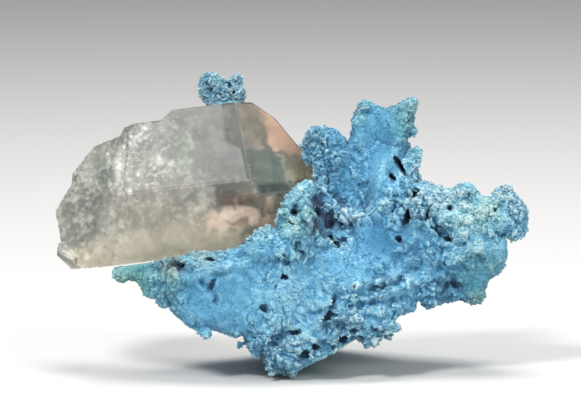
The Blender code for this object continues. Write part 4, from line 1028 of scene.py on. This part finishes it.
quartz = {
    "fine": 0.45,  # mm between the cuts that give the worn left end enough points
    "coarse": 1.0,
    "wornEnd": -26.0,  # mm, where the fine cuts end
    "wear": [(0.28, 2.2, 81), (0.3, 0.9, 85)],  # depth and size of its hollows in mm, and a seed
    "cloudBox": ((-48.0, 6.0), (19.0, 56.0)),  # mm, from and to in x and in u, of the milky sheets
    "cloudCell": 0.2,
    "cloudNoise": (4.0, 1.9, 0.8, 0.34, 0.22),  # mm
    "cloudUnder": 1.1,  # mm that the front one lies under the faces
    "plain": "#D9DAD6",
    "ior": 1.544,
    "absorbed": "#CDBCA2",
    "density": 9.0,
    # soft spots: across, down, reach in mm, strength of the broken, frosted skin
    "frost": [
        (62, 200, 5.0, 1.0), (66, 240, 5.0, 1.0), (80, 165, 4.5, 0.9), (92, 205, 5.0, 0.8),
        (96, 240, 4.0, 0.5), (112, 145, 3.0, 0.8), (135, 130, 2.4, 0.3), (72, 262, 3.0, 0.7),
        (150, 122, 2.0, 0.2),
    ],
    "milky": [
        (95, 200, 6.0, 0.5), (150, 175, 6.0, 0.15), (120, 240, 7.0, 0.3), (175, 150, 5.0, 0.25),
        (200, 225, 6.0, 0.2),
    ],
    # painted tints of the front faces for the back faces seen through them: colour, then corners across and
    # down
    "seenThroughTints": [
        ("#C4C5C5", [(160, 113), (234.5, 103), (244, 149), (219, 152), (213, 184), (190, 186), (190, 130)]),
        ("#9A968E", [(234.5, 104), (252, 101), (259.6, 111), (261.6, 121), (266.7, 131), (268.8, 145),
                     (270, 148), (244, 148)]),
        ("#68746F", [(244, 149), (271, 149), (275, 155), (282, 157), (284, 176), (290, 190), (262, 194),
                     (250.4, 181)]),
        ("#E6D6C9", [(252, 101), (272, 114), (311, 160), (301, 159.5), (282, 157), (275, 155),
                     (268.8, 145), (266.7, 131), (261.6, 121), (259.6, 111)]),
        ("#CBC9B3", [(282, 157), (301, 159.5), (311, 162), (316, 180), (300, 184), (284, 176)]),
        ("#60625A", [(213, 184), (250.4, 181), (257, 192), (214, 194)]),
        ("#85756A", [(214, 194), (257, 192), (260, 206), (216, 206)]),
        ("#DCD4C6", [(257, 192), (262, 194), (290, 190), (284, 214), (262, 230)]),
        ("#B4BABA", [(219, 152), (244, 149), (250.4, 180.4), (216, 184)]),
    ],
    # the milky sheet: colour, cover, soft edge in mm, then corners across and down
    "clouds": [
        ("#8D8E8C", 0.6, 2.5, [(120, 130), (236, 100), (250, 182), (212, 200), (112, 200)]),
        ("#9B9C95", 0.92, 0.6, [(40, 140), (112, 128), (116, 250), (40, 275)]),
        ("#B1ACA0", 0.85, 2.0, [(116, 196), (212, 188), (214, 236), (112, 240)]),
        ("#CCC3B0", 0.92, 2.0, [(60, 262), (90, 236), (190, 222), (256, 226), (256, 262), (60, 290)]),
        ("#A3A29B", 0.85, 1.2, [(112, 150), (132, 146), (134, 186), (117, 188)]),
        ("#838C84", 0.90, 1.2, [(97, 166), (112, 162), (113, 184), (98, 184)]),
        ("#8A8D86", 0.90, 1.6, [(72, 205), (92, 196), (104, 200), (108, 238), (76, 246)]),
        ("#8D938C", 0.70, 1.6, [(172, 136), (192, 134), (194, 178), (180, 178)]),
        ("#8F8F86", 0.75, 1.6, [(176, 188), (212, 186), (214, 198), (176, 204)]),
        ("#DBD1BC", 0.95, 1.2, [(184, 236), (214, 231), (246, 227), (246, 250), (180, 256)]),
        ("#FFE2CB", 0.95, 0.6, [(205, 217), (213, 209), (219, 213), (224, 204), (235, 208), (242, 202),
                                (251, 206), (257, 213), (257, 227), (247, 223), (240, 231), (229, 227),
                                (221, 233), (210, 228)]),
        ("#C4B09E", 0.5, 0.5, [(227, 220), (236, 222), (246, 217), (252, 221), (240, 226), (231, 225)]),
        ("#FFF3E6", 1.0, 0.3, [(220, 214), (230, 211), (238, 213), (229, 218)]),
        ("#FFE6D2", 0.8, 0.5, [(262, 199), (271, 195), (273, 206), (268, 218), (263, 210)]),
        ("#9C8779", 0.75, 1.0, [(208, 196), (256, 193), (258, 204), (226, 208)]),
        ("#A8A692", 0.80, 1.0, [(243, 231), (252, 226), (256, 240), (246, 244)]),
        ("#ADADA8", 0.85, 0.3, [(139, 127), (154, 123), (143, 135)]),
        ("#A5A097", 0.75, 0.7, [(236, 99), (255, 99), (262, 116), (268, 148), (246, 150)]),
        ("#A3A8A0", 0.7, 0.7, [(246, 150), (270, 149), (284, 160), (292, 192), (262, 196), (251, 183)]),
        ("#BDA595", 0.75, 0.7, [(256, 99), (276, 112), (314, 160), (284, 156), (270, 146), (263, 120)]),
        ("#A09D92", 0.6, 0.9, [(286, 160), (314, 163), (318, 182), (290, 180)]),
    ],
    "plainCloud": "#A9ADA7",
    "brightCloud": "#E6E3DC",
    "darkCloud": "#5D655E",
    "cloudShade": 0.8,
    "streakStrength": 0.36,
    "wispStrength": 0.36,
    # how far each pattern carries the sheet towards white and towards dark
    "patternStrengths": {"plain": (0.1, 0.12), "grains": (0.3, 0.22), "mottles": (0.35, 0.15)},
    # bright (+) and dark (-) lines in it: strength, width in mm, then across and down
    "streaks": [
        (0.7, 0.2, [(110, 150), (113, 190), (117, 245)]), (-0.3, 0.4, [(131, 185), (134, 205), (141, 225)]),
        (0.6, 0.22, [(131, 183), (132, 198), (136, 212), (142, 225), (149, 236)]),
        (0.6, 0.2, [(135, 184), (137, 200), (142, 214), (149, 226), (156, 233)]),
        (-0.4, 0.22, [(133, 184), (134.5, 199), (139, 213), (145, 225), (152, 234)]),
        (0.6, 0.3, [(97, 189), (101, 191.5), (108, 191), (113, 188)]),
        (0.4, 0.3, [(98, 184), (104, 181), (111, 182)]), (-0.8, 0.16, [(175, 112), (177, 120)]),
        (-0.8, 0.2, [(175, 130), (181, 129.5), (188, 128)]),
        (0.45, 0.5, [(118, 212), (120, 226), (121, 244)]), (0.35, 0.5, [(126, 222), (128, 238)]),
        (0.2, 0.4, [(139, 176), (146, 166), (156, 162), (164, 165)]),
        (0.2, 0.4, [(160, 165), (168, 172), (176, 181)]),
        (0.25, 0.4, [(144, 182), (154, 188), (166, 190), (178, 186)]),
        (-0.4, 0.4, [(170, 160), (178, 166), (183, 176)]), (0.4, 0.3, [(150, 232), (158, 238), (168, 240)]),
        (0.45, 0.35, [(165, 255), (172, 244), (184, 236)]),
        (0.35, 0.3, [(176, 256), (182, 244), (192, 236)]),
        (-0.35, 0.2, [(213, 231), (236, 229.5), (258, 228)]), (0.5, 0.2, [(199, 206), (201, 210)]),
        (0.6, 0.3, [(186, 176), (190, 175)]), (-0.4, 0.3, [(190, 134), (196, 144)]),
        (0.35, 0.3, [(200, 165), (203, 178)]), (-0.3, 0.3, [(194, 162), (198, 180)]),
        (-0.5, 0.4, [(62, 226), (68, 246)]), (0.8, 0.3, [(68, 252), (76, 249), (88, 256)]),
        (0.8, 0.3, [(86, 262), (88, 256)]), (0.6, 0.25, [(68, 264), (84, 266)]),
        (-0.3, 0.35, [(213, 200), (240, 199), (256, 198)]), (0.4, 0.3, [(218, 210), (232, 208)]),
        (0.5, 0.2, [(171, 127), (180, 129), (188, 135), (193, 144), (194, 155), (191, 166)]),
        (-0.5, 0.45, [(174, 133), (183, 139), (187, 150), (186, 164), (180, 176)]),
        (0.4, 0.18, [(139, 176), (143, 167), (152, 161), (163, 160), (174, 165), (183, 174)]),
        (0.35, 0.2, [(147, 186), (150, 176), (158, 170), (167, 172), (172, 180), (170, 190)]),
        (-0.3, 0.3, [(150, 182), (157, 176), (164, 178), (166, 186)]),
        (0.4, 0.2, [(118, 160), (121, 182), (120, 205), (124, 226), (122, 244)]),
        (0.35, 0.18, [(124, 190), (126, 210), (131, 228), (136, 242)]),
        (0.4, 0.18, [(158, 196), (166, 206), (180, 208), (190, 200)]),
        (0.35, 0.2, [(150, 240), (158, 226), (170, 217), (184, 214)]),
        (0.3, 0.3, [(100, 250), (104, 238), (112, 228)]), (0.3, 0.3, [(126, 252), (132, 240), (142, 232)]),
        (0.5, 0.18, [(62, 232), (70, 222), (80, 218)]),
        (0.4, 0.2, [(84, 165), (90, 176), (88, 190), (92, 204)]),
        (-0.35, 0.25, [(96, 200), (102, 214), (100, 230)]), (0.35, 0.2, [(74, 196), (82, 206), (84, 222)]),
        (0.5, 0.15, [(137, 139), (146, 131), (158, 124)]),
        (-0.4, 0.25, [(139, 143), (150, 136), (164, 130)]),
        (-0.35, 0.3, [(244, 210), (252, 212), (256, 208)]), (-0.3, 0.3, [(222, 222), (236, 220)]),
    ],
    # where thin bright wisps curl through it, where it is grainy and where it is blotchy: across, down,
    # reach in mm, strength
    "wisps": [
        (158, 172, 5.0, 0.4), (140, 210, 4.0, 0.6), (185, 205, 5.0, 0.5), (120, 235, 5.0, 0.4),
        (230, 216, 3.4, 0.8),
    ],
    "grains": [
        (85, 180, 6.0, 1.0), (80, 225, 6.0, 1.0), (126, 134, 3.0, 0.8), (170, 130, 4.0, 0.5),
        (190, 205, 5.0, 0.4), (150, 190, 5.0, 0.5),
    ],
    "mottles": [
        (232, 218, 4.5, 1.0), (215, 214, 3.0, 0.7), (150, 190, 6.0, 0.2), (95, 210, 6.0, 0.12),
        (275, 205, 3.0, 0.8),
    ],
}


def smoothStep(value, low, high):
    share = np.clip((value - low) / (high - low), 0, 1)
    return share * share * (3 - 2 * share)


# The crystal's front and back at places of the front view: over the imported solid's triangles, the largest
# and the least t of those that cover a place, from the place's shares of the triangle's three corners.
def crystalDepths(x, u):
    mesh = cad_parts["quartz_crystal"].data
    points = np.zeros(len(mesh.vertices) * 3)
    mesh.vertices.foreach_get("co", points)
    points = toView(points.reshape(-1, 3))
    front, back = np.full(x.shape, -99.0), np.full(x.shape, 99.0)
    for side in mesh.polygons:
        a, b, c = points[list(side.vertices)]
        area = (b[0] - a[0]) * (c[1] - a[1]) - (c[0] - a[0]) * (b[1] - a[1])
        if abs(area) < 1e-6:
            continue
        p = ((x - a[0]) * (c[1] - a[1]) - (c[0] - a[0]) * (u - a[1])) / area
        q = ((b[0] - a[0]) * (u - a[1]) - (x - a[0]) * (b[1] - a[1])) / area
        covered = (p > -1e-6) & (q > -1e-6) & (p + q < 1 + 1e-6)
        t = a[2] + p * (b[2] - a[2]) + q * (c[2] - a[2])
        front = np.where(covered, np.maximum(front, t), front)
        back = np.where(covered, np.minimum(back, t), back)
    return front, back


# Rock crystal: clear, faintly smoky and warm in depth. Its faces are glassy, and frosted where it broke
# off or grew unevenly; a painted tint on each front face stands in for the back faces seen through it.
def quartzLook():
    made, tree, shader = newMaterial("quartz_clear_faintly_smoky")
    place = addNode(tree, "TexCoord").outputs["Object"]
    seenThroughTint = addNode(tree, "Attribute", attribute_name="seenThroughTint").outputs["Color"]
    frost = addNode(tree, "Attribute", attribute_name="frost").outputs["Fac"]
    tree.links.new(seenThroughTint, shader.inputs["Base Color"])
    shader.inputs["Transmission Weight"].default_value = 1.0
    shader.inputs["IOR"].default_value = quartz["ior"]
    speckle = addNode(tree, "TexNoise", {"Vector": place, "Scale": 900.0, "Detail": 3.0})  # 1.1 mm
    rough = addNode(tree, "Math", {0: speckle.outputs["Fac"], 1: frost}, operation="MULTIPLY")
    rough = addNode(tree, "Math", {0: rough.outputs[0], 1: 0.8, 2: 0.03}, operation="MULTIPLY_ADD")
    tree.links.new(rough.outputs[0], shader.inputs["Roughness"])
    wave = addNode(tree, "TexNoise", {"Vector": place, "Scale": 130.0, "Detail": 2.0})  # 8 mm
    grit = addNode(tree, "TexNoise", {"Vector": place, "Scale": 1100.0, "Detail": 4.0})  # 0.9 mm
    grit = addNode(tree, "Math", {0: grit.outputs["Fac"], 1: frost}, operation="MULTIPLY")
    height = addNode(tree, "Math", {0: grit.outputs[0], 1: 1.4, 2: wave.outputs["Fac"]},
                     operation="MULTIPLY_ADD")
    bump = addNode(tree, "Bump", {"Height": height.outputs[0], "Distance": 0.00025, "Strength": 0.35})
    tree.links.new(bump.outputs[0], shader.inputs["Normal"])
    depth = addNode(tree, "VolumeAbsorption", {"Color": linearColour(quartz["absorbed"]),
                                               "Density": quartz["density"]})
    tree.links.new(depth.outputs[0], tree.nodes["Material Output"].inputs["Volume"])
    return made


# Colours laid over each other inside soft-edged outlines, as rgb and cover at places of the front view.
def layered(places, plain, layers):
    colour = np.tile(np.array(linearColour(plain)[:3]), (len(places), 1))
    cover = np.zeros(len(places))
    for tone, share, soft, corners in layers:
        inside = smoothStep(outlineDistance(places, corners), -soft, soft)
        colour += inside[:, None] * (np.array(linearColour(tone)[:3]) - colour)
        cover += inside * (share - cover)
    return colour, cover


# The crystal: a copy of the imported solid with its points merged, cut along a fine grid so that its flat
# faces stay exactly where they are. Only the frosted end is worn inwards, as depth times (1 - dome).
def makeCrystal(look):
    form = bmesh.new()
    form.from_mesh(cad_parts["quartz_crystal"].data)
    bmesh.ops.remove_doubles(form, verts=form.verts, dist=1e-6)
    bmesh.ops.dissolve_limit(form, angle_limit=math.radians(0.5), verts=form.verts, edges=form.edges)
    corners = np.array([v.co for v in form.verts])
    low, high = corners.min(0), corners.max(0)
    fine, coarse, wornEnd = (quartz[key] * 0.001 for key in ("fine", "coarse", "wornEnd"))
    for axis in range(3):
        normal = Vector([float(n == axis) for n in range(3)])
        cuts = np.arange(low[axis] + fine * 0.7, high[axis], fine if axis != 1 else coarse)
        if axis == 0:
            cuts = np.concatenate([cuts[cuts < wornEnd], np.arange(wornEnd + coarse, high[0], coarse)])
        for place in cuts:
            bmesh.ops.bisect_plane(form, geom=form.verts[:] + form.edges[:] + form.faces[:], dist=1e-8,
                                   plane_co=normal * place, plane_no=normal)
    bmesh.ops.triangulate(form, faces=form.faces)
    mesh = bpy.data.meshes.new("quartz_clear_crystal")
    form.to_mesh(mesh)
    form.free()
    count = len(mesh.vertices)
    points, normals = np.zeros(count * 3), np.zeros(count * 3)
    mesh.vertices.foreach_get("co", points)
    mesh.vertices.foreach_get("normal", normals)
    points, normals = toView(points.reshape(-1, 3)), normals.reshape(-1, 3)
    toward = -normals[:, 1] * math.cos(view["lean"]) + normals[:, 2] * math.sin(view["lean"])
    frost = np.clip(spots(points, quartz["frost"]), 0, 1)
    worn = smoothStep(frost, 0.15, 0.8)
    depth = sum(deep * (1 - lumps(points, size, seed)) for deep, size, seed in quartz["wear"])
    world = toWorld(points) - normals * (worn * depth)[:, None] * 0.001
    # Painted: each front face takes the colours of the back faces seen through it; other faces keep the plain
    # colour.
    seenThroughTints = [(tone, 1, 0.25, area) for tone, area in quartz["seenThroughTints"]]
    seenThroughTint, _ = layered(points[:, :2], quartz["plain"], seenThroughTints)
    seenThroughTint = np.where(toward[:, None] > 0.1, seenThroughTint, np.array(linearColour(quartz["plain"])[:3]))
    mesh.vertices.foreach_set("co", world.astype(np.float32).ravel())
    mesh.attributes.new("frost", "FLOAT", "POINT").data.foreach_set("value", (
        frost + 0.3 * spots(points, quartz["milky"])).astype(np.float32))
    paintPoints(mesh, "seenThroughTint", seenThroughTint)
    mesh.update()
    mesh.materials.append(look)
    centres = np.zeros(len(mesh.polygons) * 3)
    mesh.polygons.foreach_get("center", centres)
    wornFace = spots(toView(centres.reshape(-1, 3)), quartz["frost"]) > 0.3
    mesh.polygons.foreach_set("use_smooth", wornFace)
    made = addObject("quartz_clear_crystal", mesh)
    made.visible_shadow = False  # light reaches the veils and the crust through the clear crystal
    print("crystal:", count, "points,", len(mesh.polygons), "triangles")
    return made


# Milky quartz: the finest bubbles and healed cracks, which scatter light as a dull pale haze.
def cloudLook(name):
    made, tree, shader = newMaterial(name)
    shade = addNode(tree, "Attribute", attribute_name="shade").outputs["Color"]
    cover = addNode(tree, "Attribute", attribute_name="cover").outputs["Fac"]
    tree.links.new(shade, shader.inputs["Base Color"])
    tree.links.new(cover, shader.inputs["Alpha"])
    shader.inputs["Roughness"].default_value = 0.8
    shader.inputs["Specular IOR Level"].default_value = 0.2
    return made


# The quads of a grid whose four corners are all shown, and which of the grid's points they use.
def sheetFaces(shown):
    index = np.arange(shown.size).reshape(shown.shape)
    faces = np.stack([index[:-1, :-1], index[1:, :-1], index[1:, 1:], index[:-1, 1:]], -1).reshape(-1, 4)
    used, faces = np.unique(faces[shown.ravel()[faces].all(1)], return_inverse=True)
    return used, faces.reshape(-1, 4)


# The two milky sheets: a grid over the front view, a set depth under the crystal's front but never deeper
# than 0.35 of the way to its back, and again close to its back, with half the cover. Their colours are
# laid by outline, then carried towards white or dark by lines, wisps (where a noise is near zero),
# blotches and grains.
def makeCloud():
    xs, us = (np.arange(a, b, quartz["cloudCell"]) for a, b in quartz["cloudBox"])
    x, u = np.meshgrid(xs, us, indexing="ij")
    front, back = crystalDepths(x, u)
    thick = np.clip(front - back, 0, 60)
    under = np.minimum(quartz["cloudUnder"] * (1 + 0.3 * gridNoise([xs, us], 3.0, 91)), thick * 0.35)
    places = np.stack([x.ravel(), u.ravel()], 1)
    noise = [gridNoise([xs, us], spacing, 92 + n).ravel() for n, spacing in enumerate(quartz["cloudNoise"])]
    swayed = np.stack([noise[1], noise[2]], 1)
    moved = places + 0.5 * swayed + 0.3 * swayed[:, ::-1]
    colour, cover = layered(moved, quartz["plainCloud"], quartz["clouds"])
    colour *= quartz["cloudShade"]
    curl = np.abs(0.7 * noise[0] + 0.5 * noise[1] + 0.3 * noise[2])
    bright = quartz["wispStrength"] * smoothStep(1 - curl, 0.88, 1.0) * spots(places, quartz["wisps"])
    dark = np.zeros(len(places))
    patterns = {
        "plain": noise[1] + noise[2],
        "grains": (noise[3] + 0.8 * noise[4]) * spots(places, quartz["grains"]),
        "mottles": (0.4 * noise[1] + noise[2] + 0.5 * noise[3]) * spots(places, quartz["mottles"]),
    }
    for key, (brighter, darker) in quartz["patternStrengths"].items():
        bright += brighter * np.clip(patterns[key], 0, 1)
        dark += darker * np.clip(-patterns[key], 0, 1)
    for strength, width, line in quartz["streaks"]:
        far = lineDistance(places + 0.3 * swayed, line)
        fading = np.clip(0.7 + 1.2 * noise[2 if strength > 0 else 1], 0.2, 1.2)
        amount = quartz["streakStrength"] * abs(strength) * fading * np.exp(-0.5 * (far / (1.4 * width)) ** 2)
        bright, dark = (bright + amount, dark) if strength > 0 else (bright, dark + amount)
    for share, tone in ((bright, "brightCloud"), (dark, "darkCloud")):
        colour += np.clip(share, 0, 1)[:, None] * (np.array(linearColour(quartz[tone])[:3]) - colour)
    cover = np.clip(cover + 0.5 * bright + 0.5 * dark * (cover > 0.2) + 0.06 * noise[1], 0, 1)
    cover = cover * smoothStep(thick.ravel(), 0.15, 0.5)
    used, faces = sheetFaces(thick > 0.12)
    nearBack = back + np.minimum(2.0, thick * 0.3)
    for name, t, quads, share in (("veil_milky_front", front - under, faces, 1.0),
                                  ("veil_milky_back", nearBack, faces[:, ::-1], 0.5)):
        points = np.stack([x.ravel(), u.ravel(), t.ravel()], 1)[used]
        made = newPiece(name, points, quads, cloudLook("quartz_" + name), {"cover": cover[used] * share})
        paintPoints(made.data, "shade", colour[used])
        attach(made, "root")
    print("milky sheets:", len(faces), "quads each")


veils = [
    # name, colour, most cover, depth under the face in mm, pattern scale, threshold, corners across and down
    ("cream", "#EAD9C3", 0.8, 2.4, 300, 0.36, [(206, 204), (258, 198), (262, 238), (206, 246)]),
    ("pink", "#DDB9A2", 0.6, 2.0, 260, 0.38, [(258, 112), (300, 148), (308, 164), (264, 150)]),
    ("pinkLow", "#D8B79D", 0.6, 1.8, 300, 0.42, [(224, 190), (258, 190), (262, 210), (222, 212)]),
]


# A healed crack: a thin sheet under the front faces, on a grid between four corners. Its depth is the
# face's less a set depth and a wave, and its cover fades to nothing at its rim.
def makeVeil(name, colour, cover, depth, scale, threshold, corners):
    a, b = np.meshgrid(np.linspace(0, 1, 60), np.linspace(0, 1, 40), indexing="ij")
    cx, cu = frontPlace(*np.array(corners, float).T)
    weights = [(1 - a) * (1 - b), a * (1 - b), a * b, (1 - a) * b]
    x = sum(w * p for w, p in zip(weights, cx))
    u = sum(w * p for w, p in zip(weights, cu))
    front, back = crystalDepths(x, u)
    wave = 0.3 * np.sin(x * 0.9 + depth) * np.cos(u * 0.7 - depth)
    t = front - np.minimum(depth + wave, np.clip(front - back, 0, 60) * 0.4)
    rim = np.clip(4 * np.minimum.reduce([a, 1 - a, b, 1 - b]), 0, 1) * smoothStep(front - back, 1.0, 3.0)
    look, tree, shader = newMaterial("quartz_veil_" + name)
    place = addNode(tree, "TexCoord").outputs["Object"]
    cloud = addNode(tree, "TexNoise", {"Vector": place, "Scale": float(scale), "Detail": 6.0,
                                       "Roughness": 0.65, "Distortion": 1.2})
    shown = addNode(tree, "MapRange", {"Value": cloud.outputs["Fac"], "From Min": threshold,
                                       "From Max": threshold + 0.32, "To Min": 0.0, "To Max": cover})
    fade = addNode(tree, "Attribute", attribute_name="rim").outputs["Fac"]
    alpha = addNode(tree, "Math", {0: shown.outputs[0], 1: fade}, operation="MULTIPLY", use_clamp=True)
    tree.links.new(alpha.outputs[0], shader.inputs["Alpha"])
    shader.inputs["Base Color"].default_value = linearColour(colour)
    shader.inputs["Roughness"].default_value = 0.7
    used, faces = sheetFaces(front - back > 0)
    points = np.stack([x.ravel(), u.ravel(), t.ravel()], 1)[used]
    made = newPiece("veil_" + name, points, faces, look, {"rim": rim.ravel()[used]})
    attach(made, "root")


blue = shattuckiteLook()
crustPiece, *crustSkin = makeCrust(blue)
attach(crustPiece, "root")
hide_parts("shattuckite_matrix")

makeCrumbs(blue, "crust", *crustSkin)

tuftPiece, *tuftSkin = makeTuft(blue)
makeCrumbs(blue, "tuft", *tuftSkin)
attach(tuftPiece, "root")
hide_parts("shattuckite_tuft")

crystalPiece = makeCrystal(quartzLook())
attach(crystalPiece, "root")
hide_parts("quartz_crystal")
makeCloud()
for veil in veils:
    makeVeil(*veil)
print("veils:", len(veils))


# Floor, light and camera

studio = {
    "floorRadius": 3.0,  # m
    "floorColour": "#D6D5D3",
    "distance": 1.0,  # m from the camera to what it looks at
    "lookAt": (290.5, 203.5, -12.0),  # across, down, toward
    "frameWidth": 0.1162,  # m across the picture there
    "sensor": 36.0,
    "skyColour": "#E8EAEE",
    "skyStrength": 0.3,
    "lit": (0, 0, 0.03),  # m, the place that the lights point at
    # soft square lights: name, place in m, size in m, power in W
    "softboxes": [
        ("key", (-0.35, -0.5, 0.65), 0.2, 5.6), ("right", (0.6, -0.4, 0.4), 0.25, 2.6),
        ("top", (0.05, 0.15, 0.8), 0.4, 5.2), ("front", (0.1, -0.9, 0.15), 0.4, 1.4),
    ],
}


# A round floor: spokes of an even circle at z = 0, closed by a centre point.
def makeFloor():
    spokes = 96
    angle = np.arange(spokes) * 2 * math.pi / spokes
    ring = np.stack([np.cos(angle), np.sin(angle), 0 * angle], 1) * studio["floorRadius"]
    points = np.vstack([ring, [[0, 0, 0]]])
    mesh = bpy.data.meshes.new("floor")
    mesh.from_pydata(points.tolist(), [], [(i, (i + 1) % spokes, spokes) for i in range(spokes)])
    look, _, shader = newMaterial("paper_pale_matt")
    shader.inputs["Base Color"].default_value = linearColour(studio["floorColour"])
    shader.inputs["Roughness"].default_value = 0.9
    mesh.materials.append(look)
    addObject("floor", mesh)


def addSoftbox(name, place, size, power):
    data = bpy.data.lights.new(name, "AREA")
    data.size, data.energy = size, power
    made = addObject(name, data)
    made.location = place
    made.rotation_euler = (Vector(studio["lit"]) - Vector(place)).to_track_quat("-Z", "Y").to_euler()


def makeCamera():
    target = Vector(toWorld(viewPoint(*studio["lookAt"])[None])[0])
    back = Vector((0, -math.cos(view["lean"]), math.sin(view["lean"])))
    data = bpy.data.cameras.new("camera")
    data.sensor_width = studio["sensor"]
    data.lens = studio["sensor"] * studio["distance"] / studio["frameWidth"]
    data.clip_end = 20
    made = addObject("camera", data)
    made.location = target + back * studio["distance"]
    made.rotation_euler = (-back).to_track_quat("-Z", "Y").to_euler()
    bpy.context.scene.camera = made


makeFloor()
for softbox in studio["softboxes"]:
    addSoftbox(*softbox)
makeCamera()
world = bpy.data.worlds.new("studio")
bpy.context.scene.world = world
world.use_nodes = True
sky = world.node_tree.nodes["Background"]
sky.inputs["Color"].default_value = linearColour(studio["skyColour"])
sky.inputs["Strength"].default_value = studio["skyStrength"]
bpy.context.scene.view_settings.view_transform = "Standard"
print("studio done")
